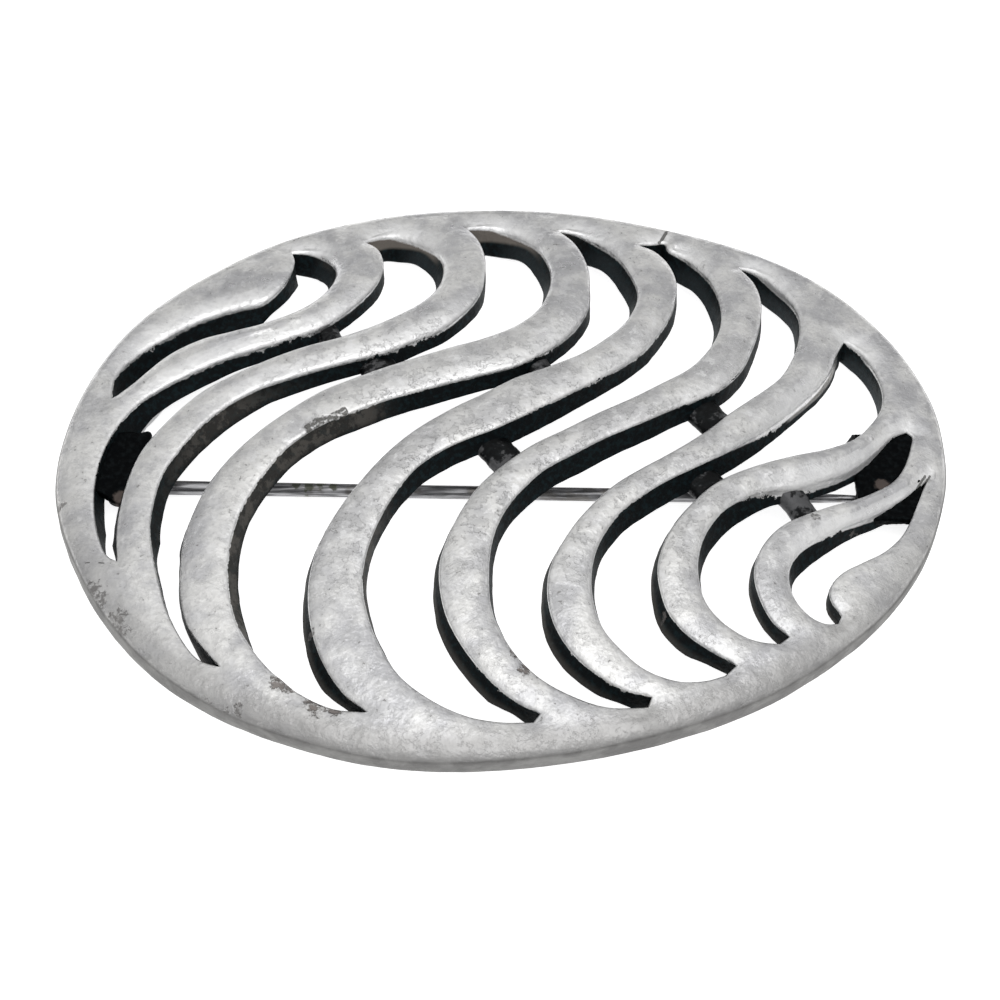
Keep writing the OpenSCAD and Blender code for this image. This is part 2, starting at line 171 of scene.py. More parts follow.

# %% [markdown]
# ## The drawing of the waves
# Every wave bar is what is left between two gaps, so only the gaps and the oval are drawn. Each pair is a
# point in millimetres on the wave side, read off, and a smooth curve runs through them. A gap has a left
# edge from one tip to the other and a right edge back again, because its tips are sharp corners where the
# smooth curve has to stop.

# %% The oval and the nine gaps, in millimetres
OVAL = [
    (27.45, 1.5), (26.8, 5.6), (24.6, 10.5), (20.8, 15.1), (16.0, 18.1), (10.0, 20.2), (4.0, 21.6),
    (-2.0, 21.9), (-8.0, 21.3), (-13.9, 19.4), (-19.0, 16.0), (-22.9, 12.2), (-25.3, 7.9),
    (-26.8, 2.8), (-27.1, -2.2), (-25.6, -7.3), (-22.9, -12.2), (-19.1, -16.4), (-14.1, -19.5),
    (-8.0, -21.6), (-2.0, -22.15), (4.0, -21.55), (10.0, -20.0), (16.0, -17.25), (21.6, -12.8),
    (25.3, -7.7), (27.1, -2.6)]
GAPS = [
    [[(-24.2, 5.1), (-24.1, 7.0), (-23.0, 8.8), (-21.0, 10.5), (-19.0, 11.8), (-17.0, 12.5),
      (-15.0, 13.0), (-13.9, 14.3), (-13.4, 15.8), (-13.3, 17.2), (-13.5, 18.2)],
     [(-13.5, 18.2), (-12.2, 18.0), (-11.2, 17.2), (-10.6, 15.8), (-10.7, 14.3), (-11.5, 12.8),
      (-13.0, 11.5), (-15.0, 10.6), (-17.0, 10.1), (-19.0, 9.6), (-21.0, 8.4), (-23.0, 6.2), (-24.2, 5.1)]],
    [[(-8.7, 18.9), (-7.9, 17.9), (-7.5, 16.5), (-7.5, 15.0), (-8.0, 13.4), (-9.3, 11.5), (-11.0, 9.9),
      (-13.0, 9.0), (-15.0, 8.3), (-17.0, 7.6), (-19.0, 6.6), (-21.0, 5.4), (-22.6, 4.0), (-23.8, 2.0),
      (-24.4, 0.0), (-24.6, -2.0), (-24.5, -4.0), (-24.1, -6.0), (-23.5, -7.5), (-22.8, -8.1)],
     [(-22.8, -8.1), (-23.0, -6.0), (-22.9, -4.0), (-22.6, -2.0), (-22.0, 0.0), (-21.0, 1.7),
      (-19.5, 3.6), (-18.0, 5.0), (-16.0, 6.2), (-14.0, 7.2), (-12.0, 8.0), (-10.0, 8.6), (-8.0, 9.5),
      (-6.0, 10.8), (-4.6, 12.1), (-3.8, 13.6), (-3.6, 15.2), (-3.9, 16.7), (-4.7, 18.0), (-5.8, 19.0),
      (-7.2, 19.5), (-8.7, 18.9)]],
    [[(-2.0, 20.0), (-1.3, 18.4), (-0.9, 16.5), (-0.9, 14.5), (-1.1, 12.6), (-1.9, 10.9), (-3.3, 9.2),
      (-5.0, 8.1), (-7.0, 7.0), (-9.0, 6.4), (-11.0, 5.8), (-13.0, 5.1), (-15.0, 4.3), (-17.0, 2.9),
      (-18.5, 1.3), (-19.6, -0.4), (-20.4, -2.0), (-20.8, -4.0), (-20.9, -6.0), (-20.6, -8.0),
      (-20.1, -10.0), (-19.5, -12.0), (-18.5, -14.0), (-17.5, -15.3), (-16.2, -15.9)],
     [(-16.2, -15.9), (-17.2, -14.7), (-18.3, -13.0), (-18.8, -11.0), (-18.9, -9.0), (-18.8, -7.0),
      (-18.3, -5.0), (-17.5, -3.0), (-16.2, -1.0), (-14.7, 0.7), (-13.0, 2.2), (-11.0, 3.7),
      (-9.0, 4.7), (-7.0, 5.6), (-5.0, 6.4), (-3.0, 7.2), (-1.0, 8.0), (1.0, 9.2), (2.4, 10.8),
      (3.1, 12.6), (3.3, 14.4), (3.0, 16.2), (2.3, 18.0), (1.1, 19.3), (-0.4, 20.1), (-2.0, 20.0)]],
    [[(4.0, 19.7), (4.9, 18.3), (5.5, 16.6), (5.8, 14.8), (5.8, 12.8), (5.7, 11.0), (5.1, 9.4),
      (4.0, 7.8), (2.5, 6.4), (1.0, 5.4), (-1.0, 4.7), (-3.0, 4.0), (-5.0, 3.3), (-7.0, 2.6),
      (-9.0, 1.7), (-11.0, 0.7), (-12.7, -0.7), (-13.8, -2.2), (-14.8, -4.0), (-15.5, -5.7),
      (-15.9, -7.5), (-16.0, -9.5), (-15.8, -11.4), (-15.3, -13.2), (-14.3, -15.0), (-13.0, -16.6),
      (-11.5, -17.9), (-9.6, -18.9), (-7.6, -19.2)],
     [(-7.6, -19.2), (-9.0, -18.0), (-10.2, -16.1), (-10.9, -14.1), (-11.2, -12.0), (-11.1, -10.0),
      (-10.6, -8.0), (-9.7, -6.0), (-8.5, -4.0), (-7.0, -1.9), (-5.2, 0.0), (-3.0, 1.7), (-1.0, 3.0),
      (1.0, 4.4), (3.0, 5.4), (5.0, 6.6), (6.5, 8.0), (7.8, 9.6), (8.6, 11.4), (8.8, 13.0),
      (8.4, 14.9), (7.6, 17.0), (6.4, 18.6), (5.1, 19.5), (4.0, 19.7)]],
    [[(9.1, 18.4), (10.2, 17.6), (11.0, 16.2), (11.4, 14.4), (11.3, 12.4), (10.9, 10.6), (10.1, 8.8),
      (9.1, 7.1), (8.0, 5.9), (6.5, 4.6), (5.0, 3.5), (3.0, 2.1), (1.0, 0.8), (-0.5, -0.1),
      (-2.0, -0.8), (-3.5, -1.7), (-5.0, -3.0), (-6.3, -5.0), (-7.2, -7.0), (-7.8, -9.0),
      (-8.0, -11.0), (-7.7, -13.0), (-7.0, -15.0), (-5.8, -17.0), (-4.0, -18.5), (-2.0, -19.5),
      (0.0, -19.9), (1.9, -19.9)],
     [(2.3, -19.4), (1.2, -18.9), (0.0, -18.0), (-1.2, -16.7), (-2.3, -15.1), (-3.1, -13.4),
      (-3.5, -11.5), (-3.5, -9.7), (-3.0, -7.9), (-2.2, -6.0), (-1.1, -4.2), (0.3, -2.7), (2.0, -1.2),
      (4.0, 0.1), (6.0, 1.5), (8.0, 2.8), (10.0, 4.3), (11.8, 5.8), (13.0, 7.5), (13.8, 9.3),
      (14.1, 11.0), (14.0, 12.8), (13.6, 14.6), (12.9, 16.1), (12.0, 17.3), (11.0, 18.0),
      (10.8, 18.8), (10.2, 18.6), (9.1, 18.4)]],
    [[(15.7, 16.4), (16.5, 14.8), (16.8, 13.0), (16.7, 11.2), (16.4, 9.6), (15.9, 7.9), (15.2, 6.1),
      (14.0, 4.4), (12.5, 3.2), (10.5, 2.0), (8.5, 0.7), (6.5, -0.5), (4.5, -1.9), (2.8, -3.1),
      (1.6, -4.4), (0.6, -5.8), (-0.1, -7.3), (-0.5, -9.0), (-0.6, -10.8), (-0.5, -12.6),
      (0.0, -14.2), (1.0, -15.9), (2.4, -17.3), (4.2, -18.3), (6.2, -18.9), (8.5, -18.8)],
     [(8.7, -18.2), (7.2, -17.9), (5.6, -17.0), (4.2, -15.7), (3.2, -14.0), (2.8, -12.2),
      (2.9, -10.4), (3.5, -8.8), (4.5, -7.0), (5.7, -5.4), (7.0, -4.0), (8.5, -2.8), (10.0, -1.7),
      (11.5, -0.5), (12.9, 0.8), (14.0, 2.0), (15.3, 3.3), (16.5, 4.5), (17.5, 5.7), (18.2, 7.1),
      (18.8, 8.8), (19.1, 10.6), (19.0, 12.2), (18.5, 13.7), (17.7, 15.0), (16.8, 16.1), (15.7, 16.4)]],
    [[(21.9, 9.8), (21.4, 8.6), (20.9, 6.9), (20.0, 5.2), (18.7, 3.5), (17.2, 1.8), (15.5, 0.2),
      (13.7, -1.2), (11.8, -2.5), (10.0, -3.7), (8.4, -5.0), (7.2, -6.2), (6.3, -7.6), (5.7, -9.0),
      (5.4, -10.7), (5.5, -12.4), (6.0, -14.0), (7.0, -15.3), (8.4, -16.5), (10.2, -17.1),
      (11.8, -17.0), (13.0, -16.6)],
     [(13.7, -15.9), (12.5, -15.3), (11.0, -14.3), (9.9, -13.0), (9.4, -11.4), (9.3, -9.8),
      (9.7, -8.2), (10.4, -6.7), (11.4, -5.3), (12.6, -3.9), (14.0, -2.8), (16.0, -1.7), (18.0, -0.8),
      (20.0, 0.0), (21.8, 1.1), (23.0, 2.6), (23.8, 4.2), (23.9, 5.9), (23.5, 7.7), (22.8, 9.0),
      (21.9, 9.8)]],
    [[(25.2, 2.3), (24.4, 1.8), (23.5, 0.6), (22.4, -0.7), (21.0, -1.9), (19.5, -2.7), (18.0, -3.4),
      (16.3, -3.8), (14.8, -4.5), (13.5, -5.5), (12.5, -6.9), (11.9, -8.4), (11.7, -10.0),
      (12.0, -11.8), (12.9, -13.1), (14.2, -14.0), (15.3, -14.3), (16.3, -14.3)],
     [(16.9, -13.8), (16.0, -13.0), (15.3, -11.6), (15.0, -10.0), (15.3, -8.5), (16.1, -7.1),
      (17.2, -6.0), (18.5, -5.2), (20.0, -4.4), (21.5, -3.7), (22.8, -2.9), (24.0, -1.9),
      (24.8, -0.6), (25.3, 0.9), (25.5, 2.0), (25.2, 2.3)]],
    [[(26.1, -1.5), (25.2, -2.6), (24.0, -3.8), (22.5, -4.9), (21.0, -5.8), (19.5, -6.8),
      (18.2, -7.8), (17.4, -8.8), (17.1, -10.0), (17.4, -11.3), (18.2, -12.3), (19.1, -12.7),
      (19.9, -12.6)],
     [(20.1, -12.1), (19.5, -11.1), (19.6, -10.1), (20.4, -9.1), (21.7, -8.2), (23.0, -7.3),
      (24.1, -6.1), (24.8, -4.8), (25.3, -3.5), (25.8, -2.2), (26.1, -1.5)]]]
print("gaps:", len(GAPS), "points drawn:", len(OVAL) + sum(len(edge) for gap in GAPS for edge in gap))

# %% [markdown]
# ## From rows of points to smooth loops
# A Catmull-Rom curve passes through every point that it is given, which suits a shape that is read off: a
# point that is wrong is wrong only there. It is sampled about three times a millimetre, closer than the
# camera can tell apart.

# %% Smooth curves
STEP = 0.3


def bend(a, b, c, d, t):
    """A point of the smooth curve between b and c."""
    return 0.5 * (2 * b + (c - a) * t + (2 * a - 5 * b + 4 * c - d) * t**2 + (3 * b - a - 3 * c + d) * t**3)


def sample(p):
    """Samples the smooth curve through a row of points, from the second one to the one before the last."""
    out = []
    for a, b, c, d in zip(p, p[1:], p[2:], p[3:]):
        steps = max(1, round(np.linalg.norm(c - b) / STEP))
        out += [bend(a, b, c, d, s / steps) for s in range(steps)]
    return out


def smooth_chain(rows):
    """Samples an open row of points, its last point left out."""
    p = [np.array(row, float) for row in rows]
    return sample([2 * p[0] - p[1]] + p + [2 * p[-1] - p[-2]])


def smooth_ring(rows):
    """Samples a closed row of points."""
    p = [np.array(row, float) for row in rows]
    return np.array(sample(p[-1:] + p + p[:2]))


oval = smooth_ring(OVAL)
print("points on the oval:", len(oval))

# %% [markdown]
# ## Loops that know their metal
# Two smooth edges make the loop of a gap. Each point of it also has to know which side of the gap it lies
# on, and which way leads out of the metal, since walls and wear depend on both. Which way is out follows
# from whether a loop runs clockwise, so it doesn't matter in which order the points were drawn.

# %% Loops of the gaps
def gap_loop(left, right):
    """The loop of a gap, and for each point 0 on its left edge and 1 on its right edge."""
    a, b = smooth_chain(left), smooth_chain(right)
    if left[-1] != right[0]:
        a.append(np.array(left[-1], float))
    return np.array(a + b), np.array([0] * len(a) + [1] * len(b))


def winding(loop):
    """1 for a loop that runs anticlockwise, -1 for clockwise."""
    x, y = loop[:, 0], loop[:, 1]
    return np.sign(np.sum(x * np.roll(y, -1) - np.roll(x, -1) * y))


def out_of_metal(loop, is_gap):
    """Unit vectors in the plan that point from the metal into the open."""
    along = np.roll(loop, -1, 0) - np.roll(loop, 1, 0)
    inward = np.stack([-along[:, 1], along[:, 0]], 1) * winding(loop)
    inward /= np.linalg.norm(inward, axis=1)[:, None]
    return inward if is_gap else -inward


loops = [oval] + [gap_loop(*gap)[0] for gap in GAPS]
sides = [np.zeros(len(oval))] + [gap_loop(*gap)[1] for gap in GAPS]
outs = [out_of_metal(loop, i > 0) for i, loop in enumerate(loops)]
print("points on all loops:", sum(len(loop) for loop in loops))

# %% [markdown]
# ## Measuring on the drawing
# Three questions come up again and again: is a place inside a loop, how far is it from a line, and which
# point of the line is the nearest. A k-d tree sorts the points of the line once, so that the thousands of
# lookups that follow are quick. A ramp turns any measure into a share from 0 to 1.

# %% Inside, distance, nearest point, ramp
EDGE_PARTS = 3
LEVEL = 1e-9


def in_loop(points, loop):
    """True for each point that lies inside a closed loop of the plan."""
    x, y = points[:, 0][:, None], points[:, 1][:, None]
    x0, y0 = loop[:, 0], loop[:, 1]
    x1, y1 = np.roll(x0, -1), np.roll(y0, -1)
    spans = (y0 > y) != (y1 > y)
    rise = np.where(y1 == y0, LEVEL, y1 - y0)
    cuts = spans & (x < (x1 - x0) * (y - y0) / rise + x0)
    return cuts.sum(1) % 2 == 1


def densify(loop, parts=EDGE_PARTS):
    """More points on a loop, for measuring distance."""
    nxt = np.roll(loop, -1, 0)
    return np.vstack([loop + (nxt - loop) * k / parts for k in range(parts)])


def nearest(points, edge_points):
    """The number of the nearest edge point and its distance, for each point."""
    tree = KDTree(len(edge_points))
    for i, p in enumerate(edge_points):
        tree.insert((p[0], p[1], 0), i)
    tree.balance()
    found = [tree.find((p[0], p[1], 0)) for p in points]
    return np.array([f[1] for f in found]), np.array([f[2] for f in found])


def distance_to(points, edge_points):
    """The distance from each point to the nearest edge point."""
    return nearest(points, edge_points)[1]


def ramp(measure, start, full):
    """0 before the start, 1 past the full value, and even between them; start may be the larger one."""
    return np.clip((measure - start) / (full - start), 0, 1)


print("inside the oval:", bool(in_loop(np.array([[0.0, 0.0]]), oval)[0]))

# %% [markdown]
# ## The dome
# The flat drawing is laid on a shallow cap of a ball that is squeezed to an oval and turned five degrees.
# The walls of the gaps don't stand upright: they lean a little towards a line far below the pin. One
# function gives the height of the dome over any place, and one moves a point down along its wall. No wall
# goes through the table, so the second function stops there.

# %% Dome and leaning walls
DOME_RISE = 3.4
HALF_LENGTH = 27.5
HALF_WIDTH = 22.3
OVAL_TURN = math.radians(5)
RIM_HEIGHT = 1.7
WALL_APEX = 85
BALL = (HALF_LENGTH**2 + DOME_RISE**2) / (2 * DOME_RISE)


def dome_height(p):
    """Height of the wave side over places in the plan."""
    p = np.asarray(p, float)
    along = p[..., 0] * math.cos(OVAL_TURN) + p[..., 1] * math.sin(OVAL_TURN)
    across = p[..., 1] * math.cos(OVAL_TURN) - p[..., 0] * math.sin(OVAL_TURN)
    across = across * HALF_LENGTH / HALF_WIDTH
    return RIM_HEIGHT + DOME_RISE - BALL + np.sqrt(BALL**2 - along**2 - across**2)


def down_wall(p, depth):
    """Points of the plan moved down their leaning wall by a depth in millimetres."""
    top = dome_height(p)
    z = np.maximum(top - depth, 0)
    return np.column_stack([p[:, 0], p[:, 1] * (WALL_APEX + z) / (WALL_APEX + top), z])


print("the dome's middle stands at", round(float(dome_height([0, 0])), 2), "mm")

# %% [markdown]
# ## The hollow behind the bars
# Behind the bars the oval is hollow, and the hollow sits a little lower and further left than the dome, so
# the bars are thinner at the lower edge than at the upper one. Round the hollow stands the band of the rim.
# The casting is also solid down to the table beside the first gap and round the lower tips of the gaps
# from the third on, which is why these tips look like black wells. One function gives the height of the
# underside at any place, so the walls and the lower sheet agree.

# %% The underside
BAR_THICK = 1.5
HOLLOW_AWAY = np.array([0.3, 0.8])
BAND_ENDS, BAND_LOWER, BAND_UPPER = 2.4, 1.3, 2.9
BAND_RIGHT = 0.15
BAND_STEP, BAND_PARTS = 2.6, 4
SOLID_LINE = np.array([(-25.0, 3.0), (-22.5, 7.5), (-19.0, 10.6), (-17.2, 11.6)])
SOLID_WIDE, SOLID_PARTS = 1.6, 20
TIP_SOLID = [0, 0, 3.0, 1.1, 1.3, 1.3, 1.2, 1.1, 0.9]
TIP_STEP = 0.6
TIP_WAY = (0.5, -1)


def band_line():
    """The inner edge of the band that the rim stands on."""
    foot = down_wall(oval, dome_height(oval))[:, :2]
    margin = np.array([BAND_ENDS, (BAND_LOWER + BAND_UPPER) / 2]) / (HALF_LENGTH, HALF_WIDTH)
    return foot * (1 - margin) + (BAND_RIGHT, (BAND_LOWER - BAND_UPPER) / 2)


BAND_LINE = band_line()
SOLID_WAY = SOLID_LINE[1:] - SOLID_LINE[:-1]
SOLID_POINTS = np.vstack([SOLID_LINE[:-1] + SOLID_WAY * k / SOLID_PARTS for k in range(SOLID_PARTS + 1)])


def back_height(p):
    """Height of the underside over places in the plan: the hollow, the foot of the rim, the solid places."""
    hollow = np.maximum(dome_height(p + HOLLOW_AWAY) - BAR_THICK, 0)
    inside = distance_to(p, densify(BAND_LINE, BAND_PARTS)) * np.where(in_loop(p, BAND_LINE), 1, -1)
    step = np.clip(inside / BAND_STEP + 0.5, 0, 1)
    step = np.minimum(step, np.clip((distance_to(p, SOLID_POINTS) - SOLID_WIDE) / BAND_STEP * 2, 0, 1))
    for loop, solid in zip(loops[1:], TIP_SOLID):
        if solid:
            far = np.linalg.norm(p - loop[np.argmax(loop @ TIP_WAY)], axis=-1)
            step = np.minimum(step, np.clip((far - solid) / TIP_STEP + 0.5, 0, 1))
    return hollow * step**2 * (3 - 2 * step)


print("the hollow's middle stands at", round(float(back_height(np.zeros((1, 2)))[0]), 2), "mm")

# %% [markdown]
# ## What years of wear do to an edge
# A cast edge starts sharp. Cloth and fingers rub it round, most of all where it faces the wearer's hand, in
# the upper half of the oval and at its right end. The metal also drops towards a rubbed edge, which gives
# each bar its soft crown. The wear is one share for each place, and everything that it changes reads that
# share. The small unevenness of cast and filed metal is smooth noise, added in a few sizes.

# %% Wear, crown and unevenness
WEAR_HIGH = (1, 9)
WEAR_RIGHT = (13, 17)
WEAR_NOT_LOW = (-8, -4)
WEAR_FACING = -1.3
CROWN_DROP, DROP_MORE = 0.16, 0.24
CROWN_WIDTH, WIDTH_MORE = 0.9, 0.7
NOISE_SHIFT = (17.3, 5.1, 9.7)


def wear(p, facing):
    """From 0 to 1, how much an edge is rubbed: most facing the hand, in the upper half or at the right."""
    right = ramp(p[:, 0], *WEAR_RIGHT) * ramp(p[:, 1], *WEAR_NOT_LOW)
    return np.clip(WEAR_FACING * facing[:, 1], 0, 1) * np.maximum(ramp(p[:, 1], *WEAR_HIGH), right)


def crown(distance, worn=0.0):
    """How much the wave side is lowered near an edge."""
    near = np.clip(1 - distance / (CROWN_WIDTH + WIDTH_MORE * worn), 0, 1)
    return (CROWN_DROP + DROP_MORE * worn) * near**2


def uneven(points, grains):
    """Smooth noise in millimetres for each point; each grain has a size, a seed and a height."""
    total = 0
    for size, seed, height in grains:
        shift = Vector([seed * step for step in NOISE_SHIFT])
        total = total + np.array([noise.noise(Vector(p) / size + shift) for p in points]) * height
    return total


def smooth_round(values, times):
    """Evens out a row of values that runs round a loop."""
    for _ in range(times):
        values = (np.roll(values, 1) + 2 * values + np.roll(values, -1)) / 4
    return values


most_worn = max(wear(loop, out).max() for loop, out in zip(loops[1:], outs[1:]))
print("most worn edge of the gaps:", round(float(most_worn), 2))

# %% [markdown]
# ## How far a wall is drafted
# Cast silver is drafted, so that the pattern leaves the sand: the gaps close a little on their way down,
# each side by its own amount, and slanted walls most of all near the middle. Where a gap ends in a tip
# there is no room for that, so the draft is held to a share of the gap's width.

# %% Draft of the gap walls
DRAFT_LEFT, DRAFT_RIGHT, DRAFT_LOWER, DRAFT_UPPER = 0.28, 0.2, 0.2, 0.15
DRAFT_FAR_LEFT = 0.35
FAR_LEFT = (-10, -16)
SLANTED_LEFT, SLANTED_RIGHT = 0.5, 0.52
SLANT_TILT, SLANT_SHIFT, SLANT_HALF = 0.3, 0.5, 6.5
SLANT_END, SLANT_LEAST = (22, 17), 0.2
RIGHT_END, RIGHT_LEAST = (18, 14), 0.3
CORNER_TURN, CORNER_SHARE = 0.85, 0.6
TIP_SHARE, STEEP_SHARE = 0.42, 0.32
STEEP_X, STEEP_Y = (-15, -18), (-5, -8)
SMOOTH_DRAFT = 6


def room_across(loop, side):
    """For each point of a gap's loop, how far the opposite edge is."""
    room = np.empty(len(loop))
    for s in (0, 1):
        mine, other = np.where(side == s)[0], np.where(side != s)[0]
        gap = np.linalg.norm(loop[mine][:, None] - loop[other][None], axis=2)
        room[mine] = gap.min(1)
    back, ahead = loop - np.roll(loop, 1, 0), np.roll(loop, -1, 0) - loop
    straight = np.sum(back * ahead, 1) / np.linalg.norm(back, axis=1) / np.linalg.norm(ahead, axis=1)
    corners = loop[(side != np.roll(side, 1)) | (straight < CORNER_TURN)]
    to_corner = np.linalg.norm(loop[:, None] - corners[None], axis=2).min(1)
    return np.minimum(room, to_corner * CORNER_SHARE)


def draft_towards(p, out):
    """The draft of a wall that faces a direction in the plan."""
    x, y = p[:, 0], p[:, 1]
    leftwards = out[:, 0] < 0
    across = np.where(leftwards, DRAFT_LEFT, DRAFT_RIGHT + DRAFT_FAR_LEFT * ramp(x, *FAR_LEFT))
    upright = np.where(out[:, 1] < 0, DRAFT_LOWER, DRAFT_UPPER)
    band = np.exp(-(((y + SLANT_TILT * x + SLANT_SHIFT) / SLANT_HALF) ** 2))
    band = band * np.maximum(ramp(x, *SLANT_END), SLANT_LEAST)
    slanted = np.where(leftwards, SLANTED_LEFT, SLANTED_RIGHT * band) * np.clip(-out[:, 1], 0, 1)
    draft = across * out[:, 0] ** 2 + upright * out[:, 1] ** 2 + slanted * 2 * np.abs(out[:, 0])
    return draft * np.where(leftwards, np.maximum(ramp(x, *RIGHT_END), RIGHT_LEAST), 1)


def held_draft(loop, out, room):
    """The draft round a gap, held to a share of the room, and to less on the steep walls at the left."""
    steep = ramp(loop[:, 0], *STEEP_X) * ramp(loop[:, 1], *STEEP_Y)
    wanted = smooth_round(draft_towards(loop, out), SMOOTH_DRAFT)
    return np.minimum(wanted, (TIP_SHARE - STEEP_SHARE * steep) * room)


rooms = [None] + [room_across(loops[i], sides[i]) for i in range(1, len(loops))]
print("most room in each gap:", [round(float(room.max()), 1) for room in rooms[1:]])

# %% [markdown]
# ## The walls of the gaps
# Each loop becomes a stack of rings: a few for the round edge, then the wall, then the back edge. A ring
# keeps three numbers for the finish. Its mark from the edge is zero at the top and falls below zero further
# down, and the darkening starts at nearly the same mark all round. On a rubbed edge the marks are drawn
# together, so the bright metal reaches further down. Its mark from the rim is far off, as the rim has rings
# of its own, and its share says how deep it lies on the wall.

# %% Rings of the gap walls
EDGE_ROUND, ROUND_MORE = 0.2, 0.35
ROUND_TURNS = (45, 70, 90)
WALL_SHARES = (0.15, 0.35, 0.6, 0.8)
BACK_ROUND, BACK_IN = 0.1, 0.9
WEAR_SHIFT, TIGHT_GAP = 0.2, 1.3
FOOT_DRAWN = (1, 0.975)
SMOOTH_WEAR, SMOOTH_THICK = 10, 4
LEAN_LEFT, LEAN_TURN = 0.10, 0.008
EDGE_MARK, MARK_WORN, MARK_RIGHT = 0.35, 0.15, 0.65
WALL_GRAINS = ((0.7, 1, 0.03), (0.25, 2, 0.012))
FAR_OFF = 9.0


def wall_profile(worn, draft, thick):
    """How far each ring stands out of the edge, and how deep it lies; then where the plain wall starts."""
    drop, size = CROWN_DROP + DROP_MORE * worn, EDGE_ROUND + ROUND_MORE * worn
    slope = np.arctan(2 * drop / (CROWN_WIDTH + WIDTH_MORE * worn))
    rings = []
    for turn in (slope, *[math.radians(degrees) for degrees in ROUND_TURNS]):
        rings.append((-size * (1 - np.sin(turn)), drop + size * (np.cos(slope) - np.cos(turn))))
    wall_top = rings[-1][1]
    for share in WALL_SHARES:
        rings.append((draft * share, wall_top + share * (thick - BACK_ROUND - wall_top)))
    rings.append((draft, thick - BACK_ROUND))
    rings.append((draft - BACK_ROUND * BACK_IN, thick))
    return rings, wall_top


def gap_rings(loop, room, out):
    """Rings of a gap: their places, their mark from the edge, their mark from the rim, their share."""
    worn = smooth_round(wear(loop, out) * np.clip(room / TIGHT_GAP, 0, 1), SMOOTH_WEAR)
    draft = held_draft(loop, out, room)
    foot = loop + out * draft[:, None]
    thick = smooth_round(dome_height(foot) - back_height(foot * FOOT_DRAWN), SMOOTH_THICK)
    profile, wall_top = wall_profile(worn, draft, thick)
    edge_mark = EDGE_MARK * (1 - worn * (MARK_WORN + MARK_RIGHT * ramp(loop[:, 0], *WEAR_RIGHT)))
    last = len(ROUND_TURNS)
    rings = []
    for k, (offset, depth) in enumerate(profile):
        ring = down_wall(loop + out * (offset - WEAR_SHIFT * worn)[:, None], depth)
        ring[:, 0] -= (LEAN_LEFT + LEAN_TURN * loop[:, 1]) * depth / thick * np.clip(k / (last + 1), 0, 1)
        if last < k < len(profile) - 1:
            ring[:, :2] += out * uneven(ring, WALL_GRAINS)[:, None]
        mark = -edge_mark * k / last if k <= last else -edge_mark - (depth - wall_top)
        rings.append((ring, mark, FAR_OFF, depth / thick))
    return rings


gap_stacks = [gap_rings(loops[i], rooms[i], outs[i]) for i in range(1, len(loops))]
print("rings to a gap:", len(gap_stacks[0]))

# %% [markdown]
# ## The rim
# The oval's outer edge is much rounder than the edges of the gaps, since it is what rubs on cloth and
# hands: along the front it rolls over up to a millimetre and a half, as a quarter of a flat ellipse. The
# upper edge is rubbed less, and where a gap comes close to the rim the roll has to be tighter too. Below
# the roll a narrow side wall runs down to the foot, which rests on the table.

# %% Rings of the rim
ROLL_WIDE, ROLL_DEEP, ROLL_LEAST = 1.5, 0.55, 0.3
ROLL_FAR, ROLL_LEVEL, ROLL_TURN, ROLL_SHARE = 0.3, 0.4, 1.6, 0.5
ROLL_TURNS = (0, 18, 36, 52, 66, 78, 90)
SMOOTH_ROLL = 20
GROW_ALL, GROW_FAR = 0.03, 0.36
SIDE_SHARES = (0.3, 0.6, 0.9)
SIDE_GRAINS = ((1.6, 3, 0.04), (0.5, 7, 0.012))
FOOT_IN, FOOT_ROUND = 0.3, 0.1
FOOT_FROM = (-30, -10)


def roll_rings():
    """Rings of the rounded edge, from the dome outwards and down."""
    out = outs[0]
    grown = oval + out * (GROW_ALL + GROW_FAR * np.clip(out[:, 1], 0, 1))[:, None]
    gap_points = np.vstack([stack[0][0][:, :2] for stack in gap_stacks])
    near = ROLL_FAR + (1 - ROLL_FAR) * np.clip(ROLL_LEVEL - ROLL_TURN * out[:, 1], 0, 1)
    wide = np.minimum(ROLL_WIDE * near, ROLL_SHARE * distance_to(grown, gap_points))
    wide = smooth_round(wide, SMOOTH_ROLL)
    deep = ROLL_DEEP * (ROLL_LEAST + (1 - ROLL_LEAST) * wide / ROLL_WIDE)
    rings = []
    for turn in ROLL_TURNS:
        a = math.radians(turn)
        away = wide * (1 - math.sin(a))
        p = grown - out * away[:, None]
        low = deep * (1 - math.cos(a)) + crown(distance_to(p, gap_points)) * math.cos(a)
        rings.append((np.column_stack([p, dome_height(p) - low]), FAR_OFF, away, 0.0))
    return rings


def side_rings(edge):
    """Rings of the side wall from the lowest ring of the roll to the foot."""
    out = outs[0]
    drawn_in = FOOT_IN * np.clip(-out[:, 1], 0, 1) * ramp(oval[:, 0], *FOOT_FROM)
    rings = []
    for share in SIDE_SHARES:
        ring = edge.copy()
        ring[:, 2] *= 1 - share
        ring[:, :2] += out * (uneven(ring, SIDE_GRAINS) - drawn_in * share)[:, None]
        rings.append((ring, FAR_OFF, -share, 0.0))
    foot = edge.copy()
    foot[:, 2] = 0
    foot[:, :2] -= out * (drawn_in + FOOT_ROUND)[:, None]
    return rings + [(foot, FAR_OFF, -1.0, 0.0)]


rim_stack = roll_rings()
rim_stack += side_rings(rim_stack[-1][0])
print("rings to the rim:", len(rim_stack))

# %% [markdown]
# ## The two faces
# The wave side and the underside are sheets with nine holes. Filling such an outline by hand leaves long
# thin faces that shade badly once they are bent. So points are scattered over the metal, a few rows close
# to each edge and an even honeycomb further in. They are joined to near-equal triangles in the next step.

